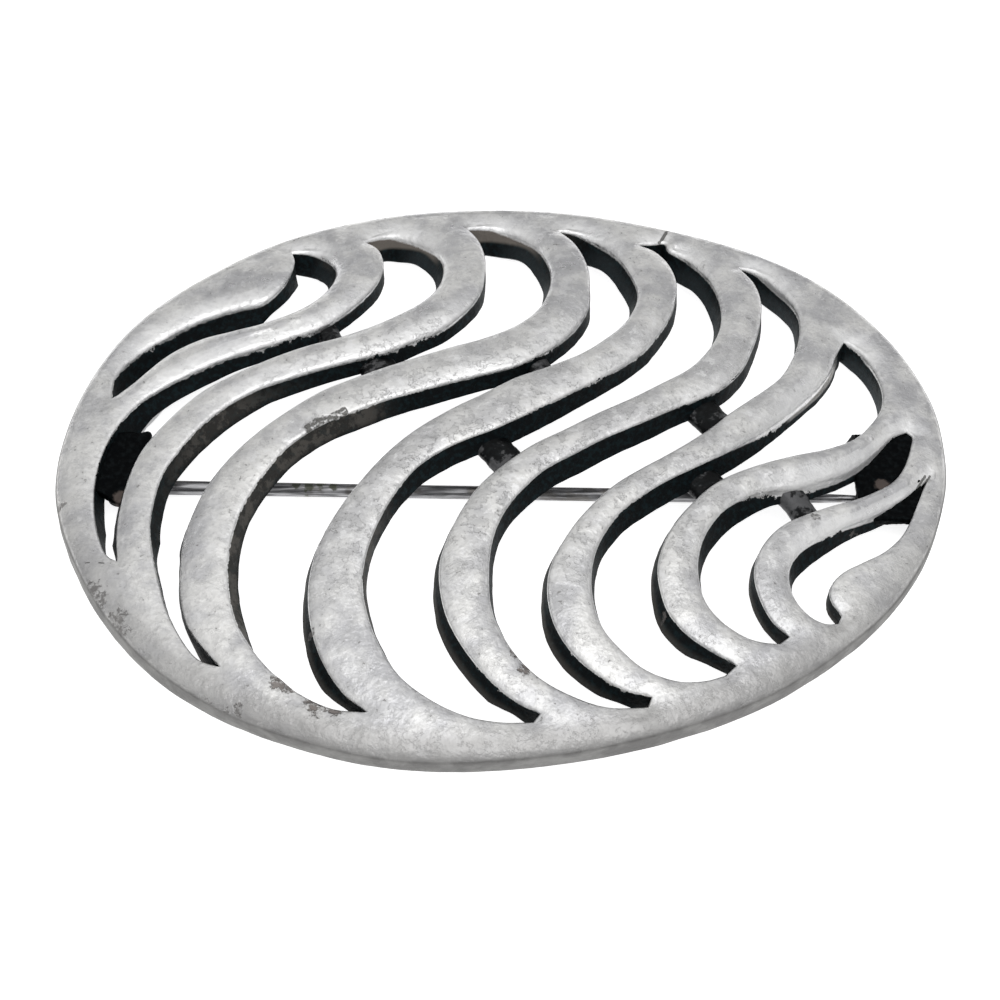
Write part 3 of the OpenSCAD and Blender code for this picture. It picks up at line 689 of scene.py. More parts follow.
# %% Points over the metal
HONEYCOMB = 0.5
GRID_X, GRID_Y = (-28, 28), (-23, 23)
ROW_HEIGHT = 0.866
KEEP_OFF, KEEP_ROW, KEEP_GRID, KEEP_APART = 0.25, 0.93, 0.55, 0.3
WAVE_ROWS, BACK_ROWS = (0.14, 0.3, 0.5, 0.75), (0.4,)
BACK_COARSE = 1.8
BAND_SHARES = (-0.55, -0.2, 0.2, 0.55)


def on_metal(points, border, holes):
    """True for each point inside the border and outside every hole."""
    ok = in_loop(points, border)
    for hole in holes:
        ok &= ~in_loop(points, hole)
    return ok


def thin_out(points, gap):
    """Drops points that crowd an earlier one."""
    tree = KDTree(len(points))
    for i, p in enumerate(points):
        tree.insert((p[0], p[1], 0), i)
    tree.balance()
    gone = np.zeros(len(points), bool)
    for i, p in enumerate(points):
        if not gone[i]:
            for _, j, _ in tree.find_range((p[0], p[1], 0), gap):
                gone[j] = gone[j] or j > i
    return points[~gone]


def scatter(border, holes, rows, spacing, extra=()):
    """Points over the metal: extra ones, rows near each edge, a honeycomb further in."""
    all_loops = [border] + holes
    edge_points = np.vstack([densify(loop) for loop in all_loops])
    chosen = []
    for row in extra:
        row = row[on_metal(row, border, holes)]
        chosen.append(row[distance_to(row, edge_points) > spacing * KEEP_OFF])
    for offset in rows:
        ring = np.vstack([loop - out_of_metal(loop, i > 0) * offset for i, loop in enumerate(all_loops)])
        ring = ring[on_metal(ring, border, holes)]
        chosen.append(ring[distance_to(ring, edge_points) > offset * KEEP_ROW])
    xs = np.arange(*GRID_X, spacing)
    ys = np.arange(*GRID_Y, spacing * ROW_HEIGHT)
    grid = np.array([(x + spacing / 2 * (j % 2), y) for j, y in enumerate(ys) for x in xs])
    grid = grid[on_metal(grid, border, holes)]
    chosen.append(grid[distance_to(grid, edge_points) > rows[-1] + spacing * KEEP_GRID])
    return thin_out(np.vstack(chosen), spacing * KEEP_APART)


wave_border = rim_stack[0][0][:, :2]
wave_holes = [stack[0][0][:, :2] for stack in gap_stacks]
wave_inner = scatter(wave_border, wave_holes, WAVE_ROWS, HONEYCOMB)
back_border = rim_stack[-1][0][:, :2]
back_holes = [stack[-1][0][:, :2] for stack in gap_stacks]
band_out = out_of_metal(BAND_LINE, False)
band_rows = [BAND_LINE + band_out * BAND_STEP * share for share in BAND_SHARES]
back_inner = scatter(back_border, back_holes, BACK_ROWS, HONEYCOMB * BACK_COARSE, band_rows)
print("points inside the wave side:", len(wave_inner), "inside the underside:", len(back_inner))

# %% [markdown]
# ## Joining the points to sheets
# The Delaunay fill is told which edges it has to keep, here those of the loops, and it joins all the other
# points to triangles as even as they can be. It also fills the gaps, so the triangles there are dropped.

# %% Fill the two sheets
MERGE_WITHIN = 1e-7


def fill(border, holes, inner):
    """Triangles over the metal; the points are the loops in order, then the inner points."""
    all_loops = [border] + holes
    points = np.vstack(all_loops + [inner])
    edges, start = [], 0
    for loop in all_loops:
        n = len(loop)
        edges += [(start + i, start + (i + 1) % n) for i in range(n)]
        start += n
    made = delaunay_2d_cdt([Vector(p) for p in points], edges, [], 0, MERGE_WITHIN)
    spots = np.array([list(p) for p in made[0]])
    faces = np.array([face for face in made[2] if len(face) == 3])
    keep = on_metal(spots[faces].mean(1), border, holes)
    if len(spots) != len(points):
        print("the fill merged or added", len(spots) - len(points), "points")
    back = [orig[0] if orig else -1 for orig in made[3]]
    return points, np.array(back)[faces[keep]]


wave_points, wave_faces = fill(wave_border, wave_holes, wave_inner)
back_points, back_faces = fill(back_border, back_holes, back_inner)
print("wave side:", len(wave_faces), "triangles; underside:", len(back_faces))

# %% [markdown]
# ## Putting the plate together: the wave side
# The two sheets and the stacks of rings share their loops, so the plate closes to one watertight skin. A
# few numbers are kept on each vertex for the finish: how far it is from a gap and from the rim, how deep it
# lies on a wall, and which way that wall faces. The darkening is painted with them later and follows the
# waves exactly. The distance of each point from the nearest edge also lowers it a little, for the soft
# crown.

# %% Lay the wave side
MARKS = ("edge_mm", "rim_mm", "wall_share", "faces_x", "faces_y")
HAND_GRAINS = ((5.0, 4, 0.035), (1.8, 5, 0.014))
HAND_FROM = 0.5
plate_verts, plate_faces = [], []
plate_marks = {name: [] for name in MARKS}


def add_points(points, *values):
    """Adds points to the plate with their marks, and gives the number of the first."""
    start = len(plate_verts)
    plate_verts.extend(points.tolist())
    for name, value in zip(MARKS, values):
        plate_marks[name].extend(np.broadcast_to(value, len(points)).tolist())
    return start


stacks = [rim_stack] + gap_stacks
gap_edges = np.vstack([densify(loop) for loop in wave_holes])
gap_outs = np.vstack([np.tile(out, (EDGE_PARTS, 1)) for out in outs[1:]])
border_ring, _, away, _ = rim_stack[0]
starts = [add_points(border_ring, distance_to(wave_border, gap_edges), away, 0.0, 0.0, 0.0)]
for stack, out in zip(gap_stacks, outs[1:]):
    to_rim = distance_to(stack[0][0][:, :2], densify(oval))
    starts.append(add_points(stack[0][0], 0.0, to_rim, 0.0, out[:, 0], out[:, 1]))
inner = wave_points[len(plate_verts):]
which, far = nearest(inner, gap_edges)
surface = np.column_stack([inner, dome_height(inner) - crown(far, wear(inner, gap_outs[which]))])
surface[:, 2] += uneven(surface, HAND_GRAINS) * np.clip(far / HAND_FROM, 0, 1)
add_points(surface, far, distance_to(inner, densify(oval)), 0.0, gap_outs[which, 0], gap_outs[which, 1])
plate_faces.extend(wave_faces.tolist())
print("points of the wave side:", len(plate_verts))

# %% [markdown]
# ## The underside of the plate
# Nobody polishes the back of a casting, so it is left plain and a little lumpy, flat only where the rim
# stands on the table. Its triangles are turned round, so that they face down.

# %% Lay the underside
UNDERSIDE = 2.0
BACK_GRAINS = ((1.2, 6, 0.04),)
back_start = len(plate_verts)
for stack in stacks:
    add_points(stack[-1][0], -FAR_OFF, FAR_OFF, UNDERSIDE, 0.0, 0.0)
under = back_points[len(plate_verts) - back_start:]
height = back_height(under)
lower = np.column_stack([under, height])
lower[:, 2] += uneven(lower, BACK_GRAINS) * np.clip(height, 0, 1)
add_points(lower, -FAR_OFF, FAR_OFF, UNDERSIDE, 0.0, 0.0)
plate_faces.extend((back_faces[:, ::-1] + back_start).tolist())
print("points with the underside:", len(plate_verts))

# %% [markdown]
# ## The walls of the plate
# Each ring is joined to the next one by a row of four-sided faces. The first and the last ring of a stack
# are already there, as edges of the two sheets, so only the rings between them are added.

# %% Join the rings
def join_rings(first, second, count, leftwards):
    """A row of four-sided faces between two rings of points."""
    for i in range(count):
        j = (i + 1) % count
        quad = (first + i, first + j, second + j, second + i)
        plate_faces.append(quad if leftwards else quad[::-1])


for number, stack in enumerate(stacks):
    count = len(stack[0][0])
    facing = (outs[number][:, 0], outs[number][:, 1]) if number else (0.0, 0.0)
    rows = [starts[number]] + [add_points(*ring, *facing) for ring in stack[1:-1]] + [back_start]
    back_start += count
    for first, second in zip(rows, rows[1:]):
        join_rings(first, second, count, (winding(loops[number]) > 0) == (number > 0))
print("points:", len(plate_verts), "faces:", len(plate_faces))

# %% [markdown]
# ## From lists to an object
# The points become a mesh whose object sits at the origin. The marks become attributes, which a material
# can read. Blender then turns all faces outwards, and a count of the edges that don't join two faces shows
# whether the skin is closed.

# %% Make the plate
SHIFT = np.array([-0.15, 0.12, 0.0])
PLATE_ROUND = math.radians(50)


def new_piece(name, verts_mm, faces):
    """A mesh object at the origin from points in millimetres of the drawing."""
    mesh = bpy.data.meshes.new(name)
    mesh.from_pydata(((np.asarray(verts_mm) + SHIFT) * MM).tolist(), [], [list(f) for f in faces])
    mesh.update()
    piece = bpy.data.objects.new(name, mesh)
    bpy.context.collection.objects.link(piece)
    return piece


def store(piece, name, values):
    """Keeps one number for each vertex of a piece."""
    layer = piece.data.attributes.new(name, "FLOAT", "POINT")
    layer.data.foreach_set("value", np.asarray(values, np.float32))


def only(piece):
    """Selects one piece and makes it active."""
    bpy.ops.object.select_all(action="DESELECT")
    piece.select_set(True)
    bpy.context.view_layer.objects.active = piece


def turn_outwards(piece):
    """Makes all faces of a closed piece point out."""
    only(piece)
    bpy.ops.object.mode_set(mode="EDIT")
    bpy.ops.mesh.select_all(action="SELECT")
    bpy.ops.mesh.normals_make_consistent(inside=False)
    bpy.ops.object.mode_set(mode="OBJECT")


wave_plate = new_piece("wave_plate", plate_verts, plate_faces)
for label, values in plate_marks.items():
    store(wave_plate, label, values)
turn_outwards(wave_plate)
bpy.ops.object.shade_smooth_by_angle(angle=PLATE_ROUND)
check = bmesh.new()
check.from_mesh(wave_plate.data)
print("plate:", len(check.faces), "faces, volume in cubic mm:", round(check.calc_volume() / MM**3, 1),
      "open edges:", sum(not e.is_manifold for e in check.edges))
check.free()

# %% [markdown]
# ## Modelling the findings by hand
# The small pieces behind the waves are made the way one models by hand: a simple form is added, rings are
# cut into it, faces are pushed, edges are rounded. Blender's tools guess in metres and lose their footing
# on half-millimetre work, so each piece is modelled with one unit to a millimetre and shrunk once it is
# done.

# %% Open, pick and cut
CUT_WITHIN = 0.0001
SELECT_MODES = {"verts": "VERT", "edges": "EDGE", "faces": "FACE"}


def open_piece(piece):
    """Enters edit mode with nothing selected."""
    only(piece)
    bpy.ops.object.mode_set(mode="EDIT")
    bpy.ops.mesh.select_all(action="DESELECT")


def close_piece():
    bpy.ops.object.mode_set(mode="OBJECT")


def pick(piece, kind, test):
    """Selects the vertices, edges or faces whose middle and normal pass a test."""
    bpy.ops.mesh.select_mode(type=SELECT_MODES[kind])
    bpy.ops.mesh.select_all(action="DESELECT")
    mesh = bmesh.from_edit_mesh(piece.data)
    for part in getattr(mesh, kind):
        if kind == "verts":
            part.select_set(test(part.co, part.normal))
        elif kind == "edges":
            part.select_set(test((part.verts[0].co + part.verts[1].co) / 2, part.verts[0].normal))
        else:
            part.select_set(test(part.calc_center_median(), part.normal))
    mesh.select_flush_mode()
    bmesh.update_edit_mesh(piece.data)


def cut(piece, place, normal, drop=False):
    """Cuts right through a piece; with drop, what lies on the normal's side goes and the cut is closed."""
    open_piece(piece)
    bpy.ops.mesh.select_all(action="SELECT")
    bpy.ops.mesh.bisect(plane_co=place, plane_no=normal, use_fill=drop, clear_outer=drop,
                        threshold=CUT_WITHIN)
    close_piece()


print("findings are modelled at", round(1 / MM), "units to a metre")

# %% [markdown]
# ## Rounding, roughening and settling
# Modifiers round and roughen a piece. Each is applied at once, so that the next tool works on real faces. At
# the end a piece is shrunk from millimetres to metres and its object is put at the origin, as those of the
# CAD nodes are, so that patterns on Object coordinates run on from piece to piece.

# %% Modifiers and settling
ALL_ROUND = math.radians(40)


def finish_with(piece, kind, **values):
    """Adds a modifier with its values and applies it."""
    only(piece)
    step = piece.modifiers.new(kind.lower(), kind)
    for name, value in values.items():
        setattr(step, name, value)
    bpy.ops.object.modifier_apply(modifier=step.name)


def crust(piece, height, grain):
    """Roughens a surface with clouds of one grain, as solder and cast skin are."""
    clouds = bpy.data.textures.new(piece.name + "_crust", "CLOUDS")
    clouds.noise_scale = grain
    finish_with(piece, "DISPLACE", texture=clouds, strength=height, mid_level=0.5, texture_coords="GLOBAL")
    bpy.data.textures.remove(clouds)


def settle(piece, at=(0, 0, 0), turn=(0, 0, 0)):
    """Turns and moves a piece in millimetres, then leaves its object at the origin in metres."""
    only(piece)
    piece.rotation_euler, piece.location = turn, at
    bpy.ops.object.transform_apply(location=True, rotation=True, scale=True)
    piece.scale = (MM, MM, MM)
    bpy.ops.object.transform_apply(location=True, rotation=True, scale=True)
    bpy.ops.object.shade_smooth_by_angle(angle=ALL_ROUND)


print("pieces are shaded smooth up to", round(math.degrees(ALL_ROUND)), "degrees")

# %% [markdown]
# ## A rod for the bridges
# A bar that hangs free at its middle would bend the first time it catches on a sleeve. So short rods are
# cast between neighbours, a little under the waves, where the eye doesn't look for them. Each is waisted:
# metal creeps up the walls as it sets. The rod is a cylinder with rings cut into it, and each ring is sized
# by how near it is to an end.

# %% Model one rod
ROD_SIDES = 32
ROD_PARTS = 14
ON_RING = 0.001
BRIDGE_WAIST = 0.9
BRIDGE_FLARE = 0.32


def model_rod():
    """A waisted rod along X, one unit long and one unit thick."""
    bpy.ops.mesh.primitive_cylinder_add(vertices=ROD_SIDES, radius=0.5, depth=1,
                                        rotation=(0, math.radians(90), 0))
    rod = bpy.context.object
    bpy.ops.object.transform_apply(rotation=True)
    places = [k / ROD_PARTS - 0.5 for k in range(1, ROD_PARTS)]
    for x in places:
        cut(rod, (x, 0, 0), (1, 0, 0))
    open_piece(rod)
    for x in [-0.5] + places + [0.5]:
        pick(rod, "verts", lambda co, normal: abs(co.x - x) < ON_RING)
        wide = BRIDGE_WAIST + BRIDGE_FLARE * abs(2 * x) ** 3
        bpy.ops.transform.resize(value=(1, wide, wide), center_override=(x, 0, 0))
    close_piece()
    return rod


rod = model_rod()
print("faces of the rod:", len(rod.data.polygons))

# %% [markdown]
# ## The bridges
# All eight bridges are copies of the one rod, each with its own place, turn, length and width. A bridge
# tilts with the dome between its two ends. Its skin is roughened at its place, so that no two look the
# same.

# %% Copy the rod to the bridges
BRIDGE_HEIGHT = 1.3
BRIDGE_DROP = 0.72
BRIDGE_CRUST = (0.12, 0.5)
BRIDGES = [[-10.6, 9.4, -65, 2.6, 1.6], [-7.4, 6.2, -65, 3, 2.6], [2.6, 5.7, -60, 3, 2],
           [0.1, -1.1, -55, 4.4, 2.4], [13.2, 2.2, -52, 4.4, 2.4], [12.6, -3.0, -50, 3.2, 2.6],
           [18.2, -4.1, -60, 3.4, 1.9], [22.0, 1.4, -40, 1.1, 0.9]]


def copy_of(piece, name):
    """A copy with a mesh of its own."""
    twin = piece.copy()
    twin.data = piece.data.copy()
    twin.name = twin.data.name = name
    bpy.context.collection.objects.link(twin)
    return twin


def place_bridge(name, x, y, turn, length, width):
    """A copy of the rod, tilted with the dome under its two ends."""
    bridge = copy_of(rod, name)
    step = np.array([math.cos(math.radians(turn)), math.sin(math.radians(turn))]) * length / 2
    ends = dome_height(np.array([[x, y] - step, [x, y] + step]))
    tilt = -math.atan2(ends[1] - ends[0], length)
    middle = (x + SHIFT[0], y + SHIFT[1], ends.mean() - BRIDGE_DROP - BRIDGE_HEIGHT / 2)
    only(bridge)
    bridge.scale = (length, width, BRIDGE_HEIGHT)
    bpy.ops.object.transform_apply(location=False, rotation=False, scale=True)
    finish_with(bridge, "SUBSURF", levels=1, render_levels=1)
    bridge.location = middle
    crust(bridge, *BRIDGE_CRUST)
    bridge.location = (0, 0, 0)
    settle(bridge, middle, (0, tilt, math.radians(turn)))
    return bridge


bridges = [place_bridge(f"bridge_{number}", *row) for number, row in enumerate(BRIDGES, 1)]
bpy.data.objects.remove(rod)
print("bridges:", len(bridges), "faces each:", len(bridges[0].data.polygons))

# %% [markdown]
# ## The web of the hinge
# The hinge is soldered on a small web that closes the leftmost gap from behind. From the front it is only
# seen as a black floor in that gap, with one slanted edge. The web is a block with a corner cut off and its
# edges rounded. It is then cut up evenly and roughened like solder that ran. The catch will get one too.

# %% Model the hinge's web
HINGE_WEB = (-24.9, -3.3, 1.4), (-21.7, 2.6, 1.9)
HINGE_CORNER = (-23.7, -2.95, 1.6), (-0.56, -0.83, 0)
WEB_BEVEL = 0.12
WEB_GRID = 0.09
WEB_CRUST = (0.16, 0.45)


def model_web(name, low, high, corners):
    """A block between two corners, with each listed edge cut off: a place and the way out of it."""
    size = [b - a for a, b in zip(low, high)]
    bpy.ops.mesh.primitive_cube_add(size=1, location=[(a + b) / 2 for a, b in zip(low, high)], scale=size)
    web = bpy.context.object
    web.name = web.data.name = name
    bpy.ops.object.transform_apply(location=True, scale=True)
    for place, way in corners:
        cut(web, place, way, drop=True)
    finish_with(web, "BEVEL", width=WEB_BEVEL, segments=2, limit_method="ANGLE")
    open_piece(web)
    bpy.ops.mesh.select_all(action="SELECT")
    bpy.ops.mesh.quads_convert_to_tris()
    close_piece()
    finish_with(web, "REMESH", mode="VOXEL", voxel_size=WEB_GRID)
    crust(web, *WEB_CRUST)
    settle(web)
    return web


hinge_web = model_web("hinge_web", *HINGE_WEB, [HINGE_CORNER])
print("faces of the hinge's web:", len(hinge_web.data.polygons))

# %% [markdown]
# ## The lugs of the hinge
# Two lugs hold the rivet, one on each side of the pin's eye. A lug starts as a round bar across the pin.
# The bar is cut in half, drawn up to the web by an extrusion, and its edges are broken. Both lugs are
# copies of it.

# %% Model the lugs
PIVOT = (-23.5, -0.9, 0.65)
PIN_TURN = math.radians(-1.2)
KNUCKLE_D, KNUCKLE_W = 1.2, 0.9
KNUCKLE_SIDES = 48
LUG_W, LUG_UP, LUG_AT = 0.6, 1.0, 0.85
LUG_BEVEL = 0.07
SQUARE_ON = 0.9


def round_bar(name, sides, diameter, length):
    """A round bar along Y, its middle on the origin."""
    bpy.ops.mesh.primitive_cylinder_add(vertices=sides, radius=diameter / 2, depth=length,
                                        rotation=(math.radians(90), 0, 0))
    bar = bpy.context.object
    bar.name = bar.data.name = name
    bpy.ops.object.transform_apply(rotation=True)
    return bar


def model_lug():
    """Half a round bar drawn up to the web, its middle on the pivot."""
    lug = round_bar("lug", KNUCKLE_SIDES, KNUCKLE_D, LUG_W)
    cut(lug, (0, 0, 0), (0, 0, 1), drop=True)
    open_piece(lug)
    pick(lug, "faces", lambda middle, normal: normal.z > SQUARE_ON)
    bpy.ops.mesh.extrude_region_move(TRANSFORM_OT_translate={"value": (0, 0, LUG_UP)})
    close_piece()
    finish_with(lug, "BEVEL", width=LUG_BEVEL, segments=3, limit_method="ANGLE")
    return lug


def from_pivot(along, across):
    """A place so far along the pin and across it, at the pivot's height."""
    x, y, z = PIVOT
    c, s = math.cos(PIN_TURN), math.sin(PIN_TURN)
    return (x + along * c - across * s, y + along * s + across * c, z)


lug = model_lug()
lugs = [copy_of(lug, name) for name in ("hinge_lug_back", "hinge_lug_front")]
for twin, side in zip(lugs, (1, -1)):
    settle(twin, from_pivot(0, side * LUG_AT), (0, 0, PIN_TURN))
bpy.data.objects.remove(lug)
print("faces of a lug:", len(lugs[0].data.polygons))

# %% [markdown]
# ## The catch
# A hook holds the end of the pin, its mouth turned to the table so that cloth can't pull the pin out. It
# hangs from a web of its own. The hook is a strip that was bent round a rod. Here a small rectangle, the
# strip's cut end, is spun round the line of the pin through nearly three quarters of a turn. Its edges are
# then broken, since a raw strip would cut the cloth.

# %% Model the catch
CATCH_WEB = (21.6, -4.5, 1.25), (25.6, 2.4, 1.85)
CATCH_AT = 46.6
CATCH_LENGTH = 1.6
CATCH_MIDDLE = 0.68
CATCH_THICK = 0.36
CATCH_OPEN = 47
CATCH_STEPS = 28
CATCH_BEVEL = 0.08
WELD_WITHIN = 0.001


def model_hook():
    """The bent strip, with the line of the pin through its origin."""
    bpy.ops.mesh.primitive_plane_add(size=1)
    hook = bpy.context.object
    hook.name = hook.data.name = "catch_hook"
    hook.scale = (CATCH_LENGTH, CATCH_THICK, 1)
    hook.location = (0, -CATCH_MIDDLE, 0)
    bpy.ops.object.transform_apply(location=True, scale=True)
    hook.rotation_euler = (math.radians(90 - CATCH_OPEN), 0, 0)
    bpy.ops.object.transform_apply(rotation=True)
    open_piece(hook)
    bpy.ops.mesh.select_all(action="SELECT")
    turn = math.radians(360 - 2 * CATCH_OPEN)
    bpy.ops.mesh.spin(steps=CATCH_STEPS, angle=turn, center=(0, 0, 0), axis=(1, 0, 0))
    bpy.ops.mesh.select_all(action="SELECT")
    bpy.ops.mesh.remove_doubles(threshold=WELD_WITHIN)
    close_piece()
    turn_outwards(hook)
    finish_with(hook, "BEVEL", width=CATCH_BEVEL, segments=3, limit_method="ANGLE")
    return hook


catch_web = model_web("catch_web", *CATCH_WEB, [])
hook = model_hook()
settle(hook, from_pivot(CATCH_AT, 0), (0, 0, PIN_TURN))
lowest = min(v.co.z for v in hook.data.vertices) / MM
print("hook:", len(hook.data.polygons), "faces, lowest at", round(lowest, 2))

# %% [markdown]
# ## The rivet
# The rivet is a short wire whose ends were hammered over the lugs. Each end face of the wire is widened,
# and then pushed out in three small steps, the last two narrower, which makes a low domed head.

# %% Model the rivet
RIVET_R, HEAD_R = 0.25, 0.38
RIVET_SIDES = 40
RIVET_PLAY = 0.02
HEAD_STEPS = ((HEAD_R / RIVET_R, 0.0), (1.0, 0.05), (0.86, 0.04), (0.6, 0.03))


def model_rivet():
    rivet = round_bar("rivet", RIVET_SIDES, 2 * RIVET_R, 2 * (LUG_AT + LUG_W / 2) + RIVET_PLAY)
    for side in (1, -1):
        open_piece(rivet)
        pick(rivet, "faces", lambda middle, normal: normal.y * side > SQUARE_ON)
        for grow, push in HEAD_STEPS:
            bpy.ops.mesh.extrude_region_move(TRANSFORM_OT_translate={"value": (0, side * push, 0)})
            bpy.ops.transform.resize(value=(grow, 1, grow), center_override=(0, 0, 0))
        close_piece()
    turn_outwards(rivet)
    return rivet


rivet = model_rivet()
settle(rivet, PIVOT, (0, 0, PIN_TURN))
print("faces of the rivet:", len(rivet.data.polygons))

# %% [markdown]
# ## The pin
# The pin is one drawn wire: flattened and pierced into an eye at the hinge, slightly thinner in the middle,
# and ground to a long point. The eye starts as a disc whose faces are inset and joined through, which
# leaves a true hole for the rivet. The wire is a circle that is extruded ring by ring, each ring with a
# radius of its own, and it is then joined to the eye.

# %% Model the pin
BORE_R = 0.28
NEAR_BORE = 0.01
WIRE_SIDES = 32
KNUCKLE_BEVEL = 0.08
STEM = [(0.42, 0.44), (0.7, 0.46), (1.2, 0.455), (2.2, 0.45), (4, 0.443), (7, 0.437), (10, 0.43),
        (13, 0.424), (16, 0.42), (19.5, 0.42), (23, 0.42), (26.5, 0.42), (30, 0.42), (33, 0.405),
        (36, 0.39), (38.5, 0.38), (40.2, 0.372), (41.3, 0.35), (42.6, 0.31), (44, 0.258), (45.2, 0.208),
        (46.2, 0.158), (47, 0.112), (47.5, 0.075), (47.8, 0.03)]


def model_eye():
    """The pin's eye: a disc on the pivot with a hole for the rivet."""
    eye = round_bar("pin", KNUCKLE_SIDES, KNUCKLE_D, KNUCKLE_W)
    open_piece(eye)
    pick(eye, "faces", lambda middle, normal: abs(normal.y) > SQUARE_ON)
    bpy.ops.mesh.inset(thickness=KNUCKLE_D / 2 - BORE_R, use_boundary=True)
    pick(eye, "faces", lambda middle, normal: abs(normal.y) > SQUARE_ON and middle.xz.length < NEAR_BORE)
    bpy.ops.mesh.delete(type="ONLY_FACE")
    pick(eye, "edges", lambda middle, normal: middle.xz.length < BORE_R + NEAR_BORE)
    bpy.ops.mesh.bridge_edge_loops()
    close_piece()
    turn_outwards(eye)
    finish_with(eye, "BEVEL", width=KNUCKLE_BEVEL, segments=3, limit_method="ANGLE")
    return eye


def model_wire():
    """The wire along X, from inside the eye to the point."""
    bpy.ops.mesh.primitive_circle_add(vertices=WIRE_SIDES, radius=STEM[0][1], fill_type="NGON",
                                      location=(STEM[0][0], 0, 0), rotation=(0, math.radians(90), 0))
    wire = bpy.context.object
    bpy.ops.object.transform_apply(location=True, rotation=True)
    open_piece(wire)
    bpy.ops.mesh.select_all(action="SELECT")
    for (x0, r0), (x1, r1) in zip(STEM, STEM[1:]):
        bpy.ops.mesh.extrude_region_move(TRANSFORM_OT_translate={"value": (x1 - x0, 0, 0)})
        bpy.ops.transform.resize(value=(1, r1 / r0, r1 / r0), center_override=(x1, 0, 0))
    close_piece()
    turn_outwards(wire)
    return wire


pin = model_eye()
wire = model_wire()
only(pin)
wire.select_set(True)
bpy.ops.object.join()
settle(pin, PIVOT, (0, 0, PIN_TURN))
point_x = max(v.co.x for v in pin.data.vertices) / MM
print("pin:", len(pin.data.polygons), "faces, point at x =", round(point_x, 2))

# %% [markdown]
# ## Nodes in plain steps
# A material is a small machine of nodes. Wiring it by hand in code takes many lines, so a few helpers name
# the moves: a Math node from numbers or sockets, a soft fade between two limits, and noise of a size in
# millimetres. Everything reads Object coordinates, so nothing slides on the metal.

# %% Helpers for nodes
def put(tree, term, socket):
    """Feeds a socket from another node's output, or sets it to a number."""
    if isinstance(term, bpy.types.NodeSocket):
        tree.links.new(term, socket)
    else:
        socket.default_value = term


def calc(tree, operation, *terms):
    node = add_node(tree, "ShaderNodeMath", operation=operation)
    for socket, term in zip(node.inputs, terms):
        put(tree, term, socket)
    return node.outputs[0]


def vector_math(tree, operation, *terms):
    node = add_node(tree, "ShaderNodeVectorMath", operation=operation)
    for socket, term in zip(node.inputs, terms):
        put(tree, term, socket)
    return node.outputs


def fade(tree, value, low, high):
    """0 below low, 1 above high, and smooth between them; low may be the larger one."""
    node = add_node(tree, "ShaderNodeMapRange", interpolation_type="SMOOTHSTEP")
    for name, term in (("Value", value), ("From Min", low), ("From Max", high)):
        put(tree, term, node.inputs[name])
    return node.outputs["Result"]


def stretch(tree, vector, turn=0.0, scale=(1, 1, 1), shift=(0, 0, 0)):
    node = add_node(tree, "ShaderNodeMapping", Scale=scale, Location=shift)
    node.inputs["Rotation"].default_value = (0, 0, math.radians(turn))
    put(tree, vector, node.inputs["Vector"])
    return node.outputs["Vector"]


def grain(tree, vector, size, detail=3.0, rough=0.55):
    """Noise around 0.5 whose lumps are about so many millimetres across."""
    node = add_node(tree, "ShaderNodeTexNoise", Scale=1 / size, Detail=detail, Roughness=rough)
    put(tree, vector, node.inputs["Vector"])
    return node.outputs["Fac"]


def attribute(tree, name):
    return add_node(tree, "ShaderNodeAttribute", attribute_name=name).outputs["Fac"]


def in_millimetres(tree):
    """Object coordinates, counted in millimetres."""
    return stretch(tree, add_node(tree, "ShaderNodeTexCoord").outputs["Object"], scale=(1 / MM,) * 3)


print("node helpers are ready")

# %% [markdown]
# ## Masks
# A mask is a value from 0 to 1 that says where something is. Masks are multiplied for what holds only where
# all of them do, and the largest is taken for what holds where any of them does. A zone is a product of
# fades, and each of its rows names a measure, where its fade starts and where it is full.

# %% Helpers for masks
def folded(tree, operation, masks):
    total = masks[0]
    for mask in masks[1:]:
        total = calc(tree, operation, total, mask)
    return total


def times(tree, *masks):
    """What holds only where all the masks do."""
    return folded(tree, "MULTIPLY", masks)


def most(tree, *masks):
    """What holds where any of the masks does."""
    return folded(tree, "MAXIMUM", masks)


def without(tree, mask):
    """What holds where a mask doesn't."""
    return calc(tree, "SUBTRACT", 1.0, mask)


def zone(tree, *rows):
    """What holds where every measure is past its limits."""
    return times(tree, *[fade(tree, measure, start, full) for measure, start, full in rows])


def added(tree, *rows, base=0.0):
    """A base and some values, each times its own weight."""
    total = base
    for value, weight in rows:
        total = calc(tree, "MULTIPLY_ADD", value, weight, total)
    return total


print("mask helpers are ready")

# %% [markdown]
# ## Node groups
# An effect that several materials use is built once as a group with named sockets, like a small machine
# with its own dials. Two helpers make a group and place it in a tree.

# %% Helpers for groups
def new_group(name, inputs, output_names):
    """A node group with its sockets; gives the tree, the outputs of its input node and its output node."""
    tree = bpy.data.node_groups.new(name, "ShaderNodeTree")
    for label, kind in inputs:
        tree.interface.new_socket(name=label, in_out="INPUT", socket_type="NodeSocket" + kind)
    for label in output_names:
        tree.interface.new_socket(name=label, in_out="OUTPUT", socket_type="NodeSocketFloat")
    return tree, tree.nodes.new("NodeGroupInput").outputs, tree.nodes.new("NodeGroupOutput").inputs


def place_group(tree, group, **terms):
    """A group's node in a tree; gives its outputs."""
    node = add_node(tree, "ShaderNodeGroup", node_tree=group)
    for name, term in terms.items():
        put(tree, term, node.inputs[name])
    return node.outputs


print("group helpers are ready")

# %% [markdown]
# ## Scratches, clouding and a ragged line
# Scratches are noise that is pulled long and thin, in three directions, kept only where it peaks and broken
# up by patches. Clouding is the slow change that handling and polish leave, in three sizes. A ragged line
# tears the edge of a patch, so that no border on the old metal runs clean.

